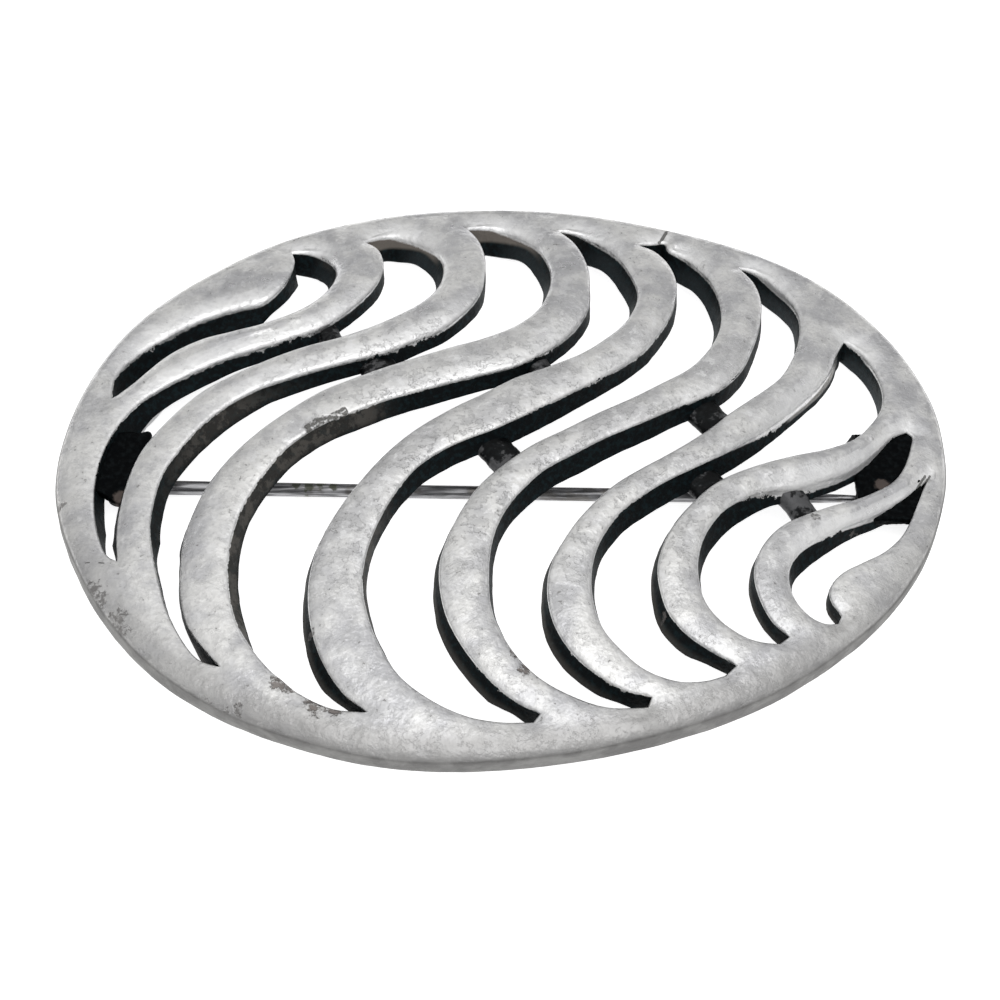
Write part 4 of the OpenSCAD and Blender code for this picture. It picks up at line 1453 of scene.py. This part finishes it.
# %% Groups of noise
SCRATCH_LANES = ((24, 1.3, 14.0), (-38, 0.9, 10.0), (71, 1.1, 12.0))
SCRATCH_LIMIT, SCRATCH_MORE, SCRATCH_SOFT = 0.76, -0.2, 0.05
LANE_X, LANE_Y = 3.1, 0.7
SCRATCH_PATCH, PATCH_SIZE, PATCH_SHIFT = (0.42, 0.6), 3.0, (3.0, 5.0, 0)
CLOUDS = (("Slow", 4.5, 2.0), ("Middle", 1.5, 3.0), ("Fine", 0.3, 3.0))
CLOUD_X, CLOUD_Y = 7, 3
TORN_SIZE, TORN_DETAIL, TORN_ROUGH = 0.4, 4.0, 0.65


def make_scratches():
    tree, given, out = new_group("hand_scratches", [("Vector", "Vector"), ("Share", "Float")], ["Mask"])
    limit = added(tree, (given["Share"], SCRATCH_MORE), base=SCRATCH_LIMIT)
    lanes = []
    for turn, length, thin in SCRATCH_LANES:
        lane = stretch(tree, given["Vector"], turn)
        lane = stretch(tree, lane, 0, (1 / length, thin / length, 1), (turn * LANE_X, turn * LANE_Y, 0))
        line = grain(tree, lane, 1.0, 0.0)
        lanes.append(fade(tree, line, calc(tree, "SUBTRACT", limit, SCRATCH_SOFT), limit))
    patch = grain(tree, stretch(tree, given["Vector"], shift=PATCH_SHIFT), PATCH_SIZE, 1.0)
    tree.links.new(times(tree, most(tree, *lanes), fade(tree, patch, *SCRATCH_PATCH)), out["Mask"])
    return tree


def make_clouding():
    tree, given, out = new_group("clouding", [("Vector", "Vector")], [name for name, _, _ in CLOUDS])
    for name, size, detail in CLOUDS:
        shifted = stretch(tree, given["Vector"], shift=(size * CLOUD_X, size * CLOUD_Y, 0))
        tree.links.new(grain(tree, shifted, size, detail), out[name])
    return tree


def make_ragged_line():
    tree, given, out = new_group("ragged_line", [("Vector", "Vector")], ["Offset"])
    noise_value = grain(tree, given["Vector"], TORN_SIZE, TORN_DETAIL, TORN_ROUGH)
    tree.links.new(calc(tree, "SUBTRACT", noise_value, 0.5), out["Offset"])
    return tree


scratches, clouding, ragged_line = make_scratches(), make_clouding(), make_ragged_line()
print("groups:", scratches.name, clouding.name, ragged_line.name)

# %% [markdown]
# ## Blots and scores
# Some marks belong to this one brooch and have their places. A blot is a round mark with a torn edge, for
# pits, stains and rubbed spots. A score is a straight one between two places, for a scratch or a long
# patch.

# %% Groups of placed marks
BLOT_EDGE = (1.05, 0.65)
SCORE_EDGE = (1.2, 0.7)
IN_PLAN = (1, 1, 0)


def make_blot():
    inputs = [("Vector", "Vector"), ("Centre", "Vector"), ("Radius", "Float"), ("Ragged", "Float")]
    tree, given, out = new_group("blot", inputs, ["Mask"])
    away = vector_math(tree, "SUBTRACT", given["Vector"], given["Centre"])["Vector"]
    flat = vector_math(tree, "MULTIPLY", away, IN_PLAN)["Vector"]
    reach = calc(tree, "DIVIDE", vector_math(tree, "LENGTH", flat)["Value"], given["Radius"])
    tree.links.new(fade(tree, calc(tree, "ADD", reach, given["Ragged"]), *BLOT_EDGE), out["Mask"])
    return tree


def make_score():
    inputs = [("Vector", "Vector"), ("Start", "Vector"), ("Way", "Vector"), ("Wide", "Float"),
              ("Ragged", "Float")]
    tree, given, out = new_group("score", inputs, ["Mask"])
    way = given["Way"]
    flat = vector_math(tree, "MULTIPLY", given["Vector"], IN_PLAN)["Vector"]
    away = vector_math(tree, "SUBTRACT", flat, given["Start"])["Vector"]
    along = calc(tree, "DIVIDE", vector_math(tree, "DOT_PRODUCT", away, way)["Value"],
                 vector_math(tree, "DOT_PRODUCT", way, way)["Value"])
    along = calc(tree, "MINIMUM", calc(tree, "MAXIMUM", along, 0.0), 1.0)
    beside = vector_math(tree, "MULTIPLY", way, along)["Vector"]
    far = vector_math(tree, "LENGTH", vector_math(tree, "SUBTRACT", away, beside)["Vector"])["Value"]
    reach = calc(tree, "DIVIDE", far, given["Wide"])
    tree.links.new(fade(tree, calc(tree, "ADD", reach, given["Ragged"]), *SCORE_EDGE), out["Mask"])
    return tree


blot, score = make_blot(), make_score()


def blots(tree, vector, rows, torn, much):
    """Round marks as one mask: where each is and its radius; much is how far their edges are torn."""
    ragged = calc(tree, "MULTIPLY", torn, much)
    return most(tree, *[place_group(tree, blot, Vector=vector, Centre=(x, y, 0), Radius=radius,
                                    Ragged=ragged)["Mask"] for x, y, radius in rows])


def scores(tree, vector, rows, torn, much):
    """Straight marks as one mask: where each starts, its way and its width."""
    ragged = calc(tree, "MULTIPLY", torn, much)
    return most(tree, *[place_group(tree, score, Vector=vector, Start=(x, y, 0), Way=(dx, dy, 0), Wide=wide,
                                    Ragged=ragged)["Mask"] for x, y, dx, dy, wide in rows])


print("groups:", ", ".join(g.name for g in bpy.data.node_groups))

# %% [markdown]
# ## What all finishes have in common
# Every metal here starts from the same things: the place in millimetres, three sizes of cloud and the
# ragged line. Its colour is laid in coats like paint, each with a mask, a strength and a colour, so the
# list of coats reads from the bare metal to the last stain. Its relief is a height in millimetres that
# bends the light.

# %% Helpers for finishes
def new_finish(name):
    """A material with its tree, its shader, its place in millimetres and its noises."""
    finish = bpy.data.materials.new(name)
    finish.use_nodes = True
    tree = finish.node_tree
    vector = in_millimetres(tree)
    clouds = place_group(tree, clouding, Vector=vector)
    torn = place_group(tree, ragged_line, Vector=vector)["Offset"]
    noises = [clouds[name] for name, _, _ in CLOUDS] + [torn]
    return finish, tree, tree.nodes["Principled BSDF"].inputs, vector, noises


def blend_colour(tree, share, under, over):
    node = add_node(tree, "ShaderNodeMix", data_type="RGBA")
    put(tree, share, node.inputs["Factor"])
    for socket, colour in ((node.inputs["A"], under), (node.inputs["B"], over)):
        put(tree, colour if isinstance(colour, bpy.types.NodeSocket) else (*colour, 1), socket)
    return node.outputs["Result"]


def paint(tree, colour, *coats):
    """Lays coats over a colour, each with its mask, its strength and its own colour."""
    for mask, strength, over in coats:
        colour = blend_colour(tree, calc(tree, "MULTIPLY", mask, strength), colour, over)
    return colour


def relief(tree, sockets, height):
    """Bends the light by a height in millimetres."""
    bump = add_node(tree, "ShaderNodeBump", Distance=MM, Strength=1.0)
    tree.links.new(height, bump.inputs["Height"])
    tree.links.new(bump.outputs["Normal"], sockets["Normal"])


print("finish helpers are ready")

# %% [markdown]
# ## The worn silver: what it can measure
# The brooch was dipped to blacken it and then rubbed bright by hand, so black stays wherever a cloth can't
# reach. The numbers that were kept on the plate's vertices say where that is. The silver reads them, its
# clouds, its scratches, and a finer noise for the flakes that a polished casting shows.

# %% Start the silver
SCRATCH_SHARE = 0.45
FLAKE_SHIFT = (11.0, 4.0, 0)
FLAKE_SIZE, FLAKE_DETAIL, FLAKE_ROUGH = 1.1, 6.0, 0.72
worn_silver, silver, silver_sockets, spot, (slow, middle, fine, torn) = new_finish("worn_silver")
edge, rim, share, faces_x, faces_y = (attribute(silver, name) for name in MARKS)
lines = place_group(silver, scratches, Vector=spot, Share=SCRATCH_SHARE)["Mask"]
flake = grain(silver, stretch(silver, spot, shift=FLAKE_SHIFT), FLAKE_SIZE, FLAKE_DETAIL, FLAKE_ROUGH)
split = add_node(silver, "ShaderNodeSeparateXYZ")
silver.links.new(spot, split.inputs["Vector"])
x, y = split.outputs["X"], split.outputs["Y"]
print("silver nodes so far:", len(silver.nodes))

# %% [markdown]
# ## Where the silver is black
# Below the edge of a gap the silver is black, on top it is bright. The border between the two is ragged in
# patches, on the edges that face the wearer's hand and on the left bars. The underside was wiped, and one
# wall at the right was rubbed bare in two places by the cloth that the brooch was worn on.

# %% The black and its border
RUBBED_WALL = [(19.3, 4.2, 2.4), (21.6, 6.8, 2.0)]
TEETH, TEETH_LEAST = 0.8, 0.12
BLACK_BEGINS, BEGINS_LATER, BLACK_SOFT = 0.19, 0.07, 0.09
RUBBED_TORN = 0.4

depth = calc(silver, "MULTIPLY", edge, -1.0)
faces_front = fade(silver, faces_y, -0.2, -0.8)
left_bars = zone(silver, (x, 2.0, -6.0), (faces_x, -0.1, 0.5))
worn_patch = zone(silver, (slow, 0.46, 0.6), (y, 13.0, 9.0))
torn_here = times(silver, worn_patch, most(silver, faces_front, left_bars))
torn_here = added(silver, (torn_here, TEETH), base=TEETH_LEAST)
begins = added(silver, (fade(silver, faces_x, 0.0, -1.0), BEGINS_LATER), base=BLACK_BEGINS)
below = calc(silver, "SUBTRACT", depth, begins)
oxide = fade(silver, calc(silver, "ADD", below, times(silver, torn, torn_here)), 0.0, BLACK_SOFT)
underside = fade(silver, share, 1.1, 1.7)
side_wall = fade(silver, rim, 0.16, 0.02)
rubbed = times(silver, blots(silver, spot, RUBBED_WALL, torn, RUBBED_TORN),
               zone(silver, (faces_x, 0.1, 0.5), (share, 0.78, 0.62)))
oxide = times(silver, oxide, without(silver, most(silver, underside, rubbed)))
print("silver nodes so far:", len(silver.nodes))

# %% [markdown]
# ## Stains, pits and scores of this brooch
# Brown stains lie mostly at the lower left of the rim, and small casting pits along the rim and at the
# ends of some bars. A grey patch on the third bar was never polished away, and a few lone scores come from
# wear. Stains, pits and the patch are broken up by the fine clouds, because an old mark has holes.

# %% Marks with their places
STAINS = [(-12.77, -17.06, 0.65), (-12.2, -17.4, 0.45), (-10.53, -18.41, 0.8), (-9.6, -18.75, 0.5),
          (1.32, -16.66, 0.4), (0.75, -15.68, 0.3)]
PITS = [(-24.3, -9.9, 0.6), (-23.9, -10.8, 0.55), (-22.7, -12.1, 0.6), (-22.3, -12.8, 0.45),
        (-15.14, -18.52, 0.28), (-17.08, -18.0, 0.28), (-11.13, -13.99, 0.2), (1.32, -15.86, 0.22),
        (9.48, -12.71, 0.22), (-26.88, -3.33, 0.4), (-16.4, -18.43, 0.2), (-15.9, -18.5, 0.2),
        (5.6, -18.48, 0.2), (21.27, -5.74, 0.3), (18.81, -5.29, 0.3)]
OLD_PATCHES = [(-11.75, 0.7, 1.0, 0.55, 0.33), (-10.8, 1.25, 1.15, 0.6, 0.24),
               (-12.6, -0.6, 0.5, 0.6, 0.12)]
SCORES = [(10.3, 18.9, 0.5, 1.0, 0.09), (10.8, 19.9, 0.75, 1.35, 0.06), (25.25, -2.2, 0.65, 1.2, 0.07),
          (25.6, -2.1, 0.6, 1.15, 0.06), (-24.85, -7.94, 0.25, -0.03, 0.035),
          (-24.0, -8.08, 0.3, -0.05, 0.04), (20.6, -2.2, 0.25, -0.75, 0.07)]
STAIN_TORN, PIT_TORN, PATCH_TORN, SCORE_TORN = 2.4, 5.0, 3.0, 1.0
HOLES, HOLES_LEAST = 0.75, 0.25

broken = added(silver, (fade(silver, fine, 0.62, 0.48), HOLES), base=HOLES_LEAST)
broken = times(silver, broken, without(silver, underside))
stain = times(silver, blots(silver, spot, STAINS, torn, STAIN_TORN), broken)
pit = times(silver, blots(silver, spot, PITS, torn, PIT_TORN), broken, without(silver, side_wall))
patch = times(silver, scores(silver, spot, OLD_PATCHES, torn, PATCH_TORN), broken, without(silver, oxide))
lone_score = times(silver, scores(silver, spot, SCORES, torn, SCORE_TORN), fade(silver, share, 0.3, 0.1))
print("silver nodes so far:", len(silver.nodes))

# %% [markdown]
# ## Where the silver is worn, and where highlight and shade are painted on it
# Flakes are strongest in the middle of the dome, where hands polish the most. Shoulders that face the front
# are painted paler, as a painted highlight, and are duller at the right end, and every edge carries a thin
# painted highlight line. The roll of the rim is painted grey towards the front, as painted shade, most of
# all away from its two ends, and its very edge is painted grey all round, as painted shade over its bright
# line.

# %% Worn places, painted highlights and painted shade
FLAKE_DARK, FLAKE_PALE = (0.53, 0.56), (0.43, 0.40)
SHOULDER_TORN, ROLL_TORN = 1.2, 0.8
ROLL_LEFT_MORE, ROLL_LEFT_LEAST = 0.4, 0.6
ROLL_RIGHT_MORE, ROLL_RIGHT_LEAST = 0.5, 0.5
ROLL_ALL_ROUND = 0.55

rubbed_middle = zone(silver, (x, -20.0, -8.0), (x, 22.0, 12.0), (y, -14.0, -6.0), (y, 14.0, 7.0))
dark_flake = fade(silver, flake, *FLAKE_DARK)
pale_flake = fade(silver, flake, *FLAKE_PALE)
speck = zone(silver, (fine, 0.66, 0.7), (flake, 0.48, 0.54))
right_end = fade(silver, x, 14.0, 18.0)
# Painted highlight: shoulders that face the front are painted paler.
shoulder_highlight = fade(silver, added(silver, (torn, SHOULDER_TORN), base=edge), 1.4, 0.3)
shoulder_highlight = times(silver, shoulder_highlight, faces_front, most(silver, fade(silver, y, 1.0, 6.0), right_end))
# Painted highlight: a thin bright line along every edge, broken up by noise.
edge_highlight = zone(silver, (edge, 0.16, 0.03), (calc(silver, "ADD", flake, torn), 0.46, 0.56))
# Painted shade: the roll of the rim is painted grey towards the front, most away from its ends, and at its
# very edge all round.
roll = times(silver, fade(silver, y, 2.0, -10.0),
             added(silver, (fade(silver, x, -22.0, -12.0), ROLL_LEFT_MORE), base=ROLL_LEFT_LEAST),
             added(silver, (fade(silver, x, 24.0, 15.0), ROLL_RIGHT_MORE), base=ROLL_RIGHT_LEAST),
             fade(silver, added(silver, (torn, ROLL_TORN), base=rim), 2.2, 0.8))
roll = most(silver, roll, calc(silver, "MULTIPLY", fade(silver, rim, 0.4, 0.1), ROLL_ALL_ROUND))
print("silver nodes so far:", len(silver.nodes))

# %% [markdown]
# ## The colour of the bright silver
# Silver with a fine scratch pattern has no one grey: slow clouds move it between a cool and a warm tone,
# and the flakes, scratches and specks lie over them. The side wall of the rim and the underside are
# darker.

# %% Paint the bright silver
SILVER_COOL = (0.62, 0.62, 0.635)
SILVER_WARM = (0.89, 0.885, 0.87)
SCRATCH_GREY = (0.50, 0.50, 0.50)
FLECK_AND_HIGHLIGHT = (0.95, 0.95, 0.95)
PIT_GREY = (0.16, 0.15, 0.145)
ROLL_SHADE_GREY = (0.42, 0.415, 0.41)
SIDE_GREY = (0.17, 0.168, 0.165)
SIDE_LIGHT = (0.27, 0.268, 0.262)
BACK_GREY = (0.26, 0.26, 0.265)
RUBBED_GREY = (0.2, 0.19, 0.175)

mottle = added(silver, (middle, 0.45), base=calc(silver, "MULTIPLY", slow, 0.55))
bright = blend_colour(silver, fade(silver, mottle, 0.4, 0.6), SILVER_COOL, SILVER_WARM)
side_colour = blend_colour(silver, fade(silver, middle, 0.35, 0.65), SIDE_GREY, SIDE_LIGHT)
bright = paint(
    silver, bright,
    (fade(silver, fine, 0.42, 0.7), 0.3, SCRATCH_GREY),
    (lines, 0.14, SCRATCH_GREY),
    (rubbed_middle, 0.3, SILVER_WARM),
    (dark_flake, added(silver, (rubbed_middle, 0.18), base=0.2), SCRATCH_GREY),
    (pale_flake, added(silver, (rubbed_middle, 0.4), base=0.4), FLECK_AND_HIGHLIGHT),
    # Painted highlights on the shoulders and along the edges, then painted shade on the roll of the rim.
    (speck, 0.6, PIT_GREY),
    (shoulder_highlight, 0.6, FLECK_AND_HIGHLIGHT),
    (edge_highlight, 0.6, FLECK_AND_HIGHLIGHT),
    (roll, added(silver, (middle, 0.3), base=0.75), ROLL_SHADE_GREY),
    (side_wall, 1.0, side_colour),
    (underside, 1.0, BACK_GREY),
    (rubbed, fade(silver, depth, 0.15, 0.35), RUBBED_GREY))
print("silver nodes so far:", len(silver.nodes))

# %% [markdown]
# ## The colour of the black walls
# The black of the dip isn't even. Fine clouds give it a blue cast. Walls that face left at the lower edge
# are painted greyer low down, as painted light, and the right-facing ones of the left bars are greyer low
# down too, in flakes. At the upper edge those that face left are painted bluer, as painted light from the
# sky, and the far walls left of the middle are a warm grey near their top.

# %% Paint the walls and the marks
OXIDE_BLACK = (0.0065, 0.0085, 0.0095)
OXIDE_BLUE = (0.010, 0.019, 0.022)
SKYLIGHT_BLUE = (0.045, 0.055, 0.06)
WALL_LIGHT_AND_FILM_GREY = (0.115, 0.107, 0.097)
WARM_GREY = (0.20, 0.18, 0.16)
STAIN_BROWN = (0.17, 0.14, 0.125)
PATCH_GREY = (0.12, 0.118, 0.11)

# Painted light: left-facing walls in the lower half are painted greyer low down.
lit_wall = zone(silver, (y, -2.0, -7.0), (faces_x, -0.2, -0.8), (share, 0.55, 0.85))
grey_wall_foot = zone(silver, (share, 1.0, 0.7), (y, 6.0, 2.5), (x, -21.5, -18.0), (x, -6.0, -8.5))
grey_wall_foot = times(silver, grey_wall_foot, left_bars, added(silver, (fade(silver, flake, 0.55, 0.45), 0.6), base=0.4))
wall_light_and_grey_foot = most(silver, calc(silver, "MULTIPLY", lit_wall, 0.5), calc(silver, "MULTIPLY", grey_wall_foot, 0.8))
# Painted light: left-facing walls in the upper half are painted bluer, as if lit by the sky.
skylit = zone(silver, (y, 3.0, 8.0), (faces_x, -0.3, -0.8), (share, 0.35, 0.75))
far_wall = zone(silver, (y, 15.0, 17.5), (faces_y, -0.2, -0.7), (share, 0.62, 0.5))
far_wall = times(silver, far_wall, zone(silver, (x, -12.5, -8.5), (x, 6.0, 0.0)))
dark = blend_colour(silver, fade(silver, fine, 0.45, 0.65), OXIDE_BLACK, OXIDE_BLUE)
dark = paint(silver, dark, (wall_light_and_grey_foot, 1.0, WALL_LIGHT_AND_FILM_GREY), (skylit, 0.5, SKYLIGHT_BLUE), (far_wall, 1.0, WARM_GREY))
colour = paint(
    silver, bright,
    (oxide, 1.0, dark),
    (stain, 0.8, STAIN_BROWN),
    (pit, 0.7, PIT_GREY),
    (patch, 0.9, PATCH_GREY),
    (lone_score, 0.85, PATCH_GREY))
silver.links.new(colour, silver_sockets["Base Color"])
print("silver nodes so far:", len(silver.nodes))

# %% [markdown]
# ## Shine and relief of the silver
# The black is a crust and no bare metal, so it mirrors less. The clouds change the roughness a little. The
# relief holds everything that a fingertip would feel: the clouds, the flakes and scratches, and the pits.

# %% Shine and relief
DIM_SHINE = 0.1

dull = added(silver, (oxide, 0.6), (times(silver, shoulder_highlight, right_end), 0.5))
silver.links.new(without(silver, dull), silver_sockets["Metallic"])
rough = added(silver, (slow, 0.2), (middle, 0.3), (most(silver, oxide, side_wall), 0.3), base=0.09)
silver.links.new(rough, silver_sockets["Roughness"])
silver_sockets["Specular IOR Level"].default_value = DIM_SHINE
flaked = times(silver, dark_flake, added(silver, (rubbed_middle, 1.5), base=1.0))
relief(silver, silver_sockets, added(
    silver, (fine, 0.03), (middle, 0.11), (flaked, -0.007), (lines, -0.004),
    (most(silver, pit, stain, patch, lone_score), -0.06), (times(silver, oxide, torn), 0.05)))
wave_plate.data.materials.append(worn_silver)
print("silver nodes:", len(silver.nodes))

# %% [markdown]
# ## The black findings
# What sits behind the waves was never rubbed, so it keeps the black of the dip, with a brown film where
# skin grease collects by the hinge and on the hook. The bridges lie higher and have been rubbed a little,
# and their soft grey rubs also serve as painted highlights.

# %% The black findings
BROWN_FILM = [(-23.1, -2.75, 0.6), (23.2, -1.75, 0.5)]
FILM_TORN = 1.2
FILM_BROWN = (0.13, 0.105, 0.095)
RUB_AND_HIGHLIGHT_GREY = (0.30, 0.30, 0.31)
DEEP_BLACK = (0.002, 0.0025, 0.003)
BLACK_METALLIC = 0.6
BLACK_SHINE, BARE_SHINE = 0.05, 0.8
BLACK_ROUGH, BARE_SMOOTH, CLOUD_ROUGH = 0.4, 0.5, 0.3
BRIDGES_BARE = 0.35


def make_black(name, bare):
    """Blackened silver; bare is how much of it shows soft grey rubs, which also serve as painted highlights.
    """
    finish, tree, sockets, vector, (_, middle, fine, torn) = new_finish(name)
    colour = blend_colour(tree, fade(tree, fine, 0.45, 0.7), DEEP_BLACK, OXIDE_BLACK)
    # Grey rubs: partly rubbed metal, partly painted highlight.
    rub_and_highlight = fade(tree, added(tree, (torn, 0.5), base=middle), 0.48, 0.6)
    film = blots(tree, vector, BROWN_FILM, torn, FILM_TORN)
    colour = paint(tree, colour, (rub_and_highlight, bare, RUB_AND_HIGHLIGHT_GREY), (film, 0.85, FILM_BROWN))
    tree.links.new(colour, sockets["Base Color"])
    sockets["Metallic"].default_value = BLACK_METALLIC
    sockets["Specular IOR Level"].default_value = BLACK_SHINE + bare * BARE_SHINE
    rough = added(tree, (middle, CLOUD_ROUGH), base=BLACK_ROUGH - bare * BARE_SMOOTH)
    tree.links.new(rough, sockets["Roughness"])
    relief(tree, sockets, added(tree, (torn, 0.04), (fine, 0.03)))
    return finish


black_findings = make_black("black_findings", 0.0)
black_bridges = make_black("rubbed_and_highlit_bridges", BRIDGES_BARE)
for piece in [hinge_web, catch_web, hook] + lugs:
    piece.data.materials.append(black_findings)
for piece in bridges:
    piece.data.materials.append(black_bridges)
print("black finishes:", black_findings.name, black_bridges.name)

# %% [markdown]
# ## The steel of the pin
# The pin is steel wire. Drawing it through a die left streaks along its whole length, so the noise is
# turned with the pin and pulled long. One stretch carries dark spots of a green bloom.

# %% The steel
BLOOM = [(-12.6, -1.1, 0.3), (-11.9, -1.2, 0.35), (-11.1, -1.05, 0.35), (-10.3, -1.2, 0.3),
         (-8.2, -1.1, 0.2), (-7.4, -1.2, 0.15)]
BLOOM_TORN = 2.5
STREAK_LONG, STREAK_SIZE, STREAK_DETAIL, STREAK_ROUGH = 0.06, 0.16, 2.0, 0.6
STEEL_LIGHT = (0.36, 0.36, 0.37)
STEEL_DARK = (0.12, 0.12, 0.125)
BLOOM_GREEN = (0.035, 0.04, 0.018)


def make_steel():
    finish, tree, sockets, vector, (_, middle, _, torn) = new_finish("drawn_steel")
    streak = stretch(tree, vector, -math.degrees(PIN_TURN), (STREAK_LONG, 1, 1))
    streak = grain(tree, streak, STREAK_SIZE, STREAK_DETAIL, STREAK_ROUGH)
    bloom = blots(tree, vector, BLOOM, torn, BLOOM_TORN)
    colour = blend_colour(tree, fade(tree, streak, 0.40, 0.60), STEEL_DARK, STEEL_LIGHT)
    colour = paint(tree, colour, (fade(tree, middle, 0.52, 0.62), 0.6, WALL_LIGHT_AND_FILM_GREY), (bloom, 0.9, BLOOM_GREEN))
    tree.links.new(colour, sockets["Base Color"])
    tree.links.new(without(tree, calc(tree, "MULTIPLY", bloom, 0.7)), sockets["Metallic"])
    tree.links.new(added(tree, (streak, 0.3), base=0.15), sockets["Roughness"])
    relief(tree, sockets, calc(tree, "MULTIPLY", streak, 0.02))
    return finish


drawn_steel = make_steel()
for piece in (pin, rivet):
    piece.data.materials.append(drawn_steel)
print("finishes:", ", ".join(m.name for m in bpy.data.materials))

# %% [markdown]
# ## Handing over
# Each piece rides on its CAD body, and the CAD node that it stands for is hidden.

# %% Hand the pieces over
for piece in [wave_plate, hinge_web, catch_web, hook] + lugs + bridges:
    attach(piece, "brooch")
    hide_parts("openwork_plate")
for piece, body, node in ((rivet, "brooch", "hinge_rivet"), (pin, "pin", "pin_stem")):
    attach(piece, body)
    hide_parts(node)
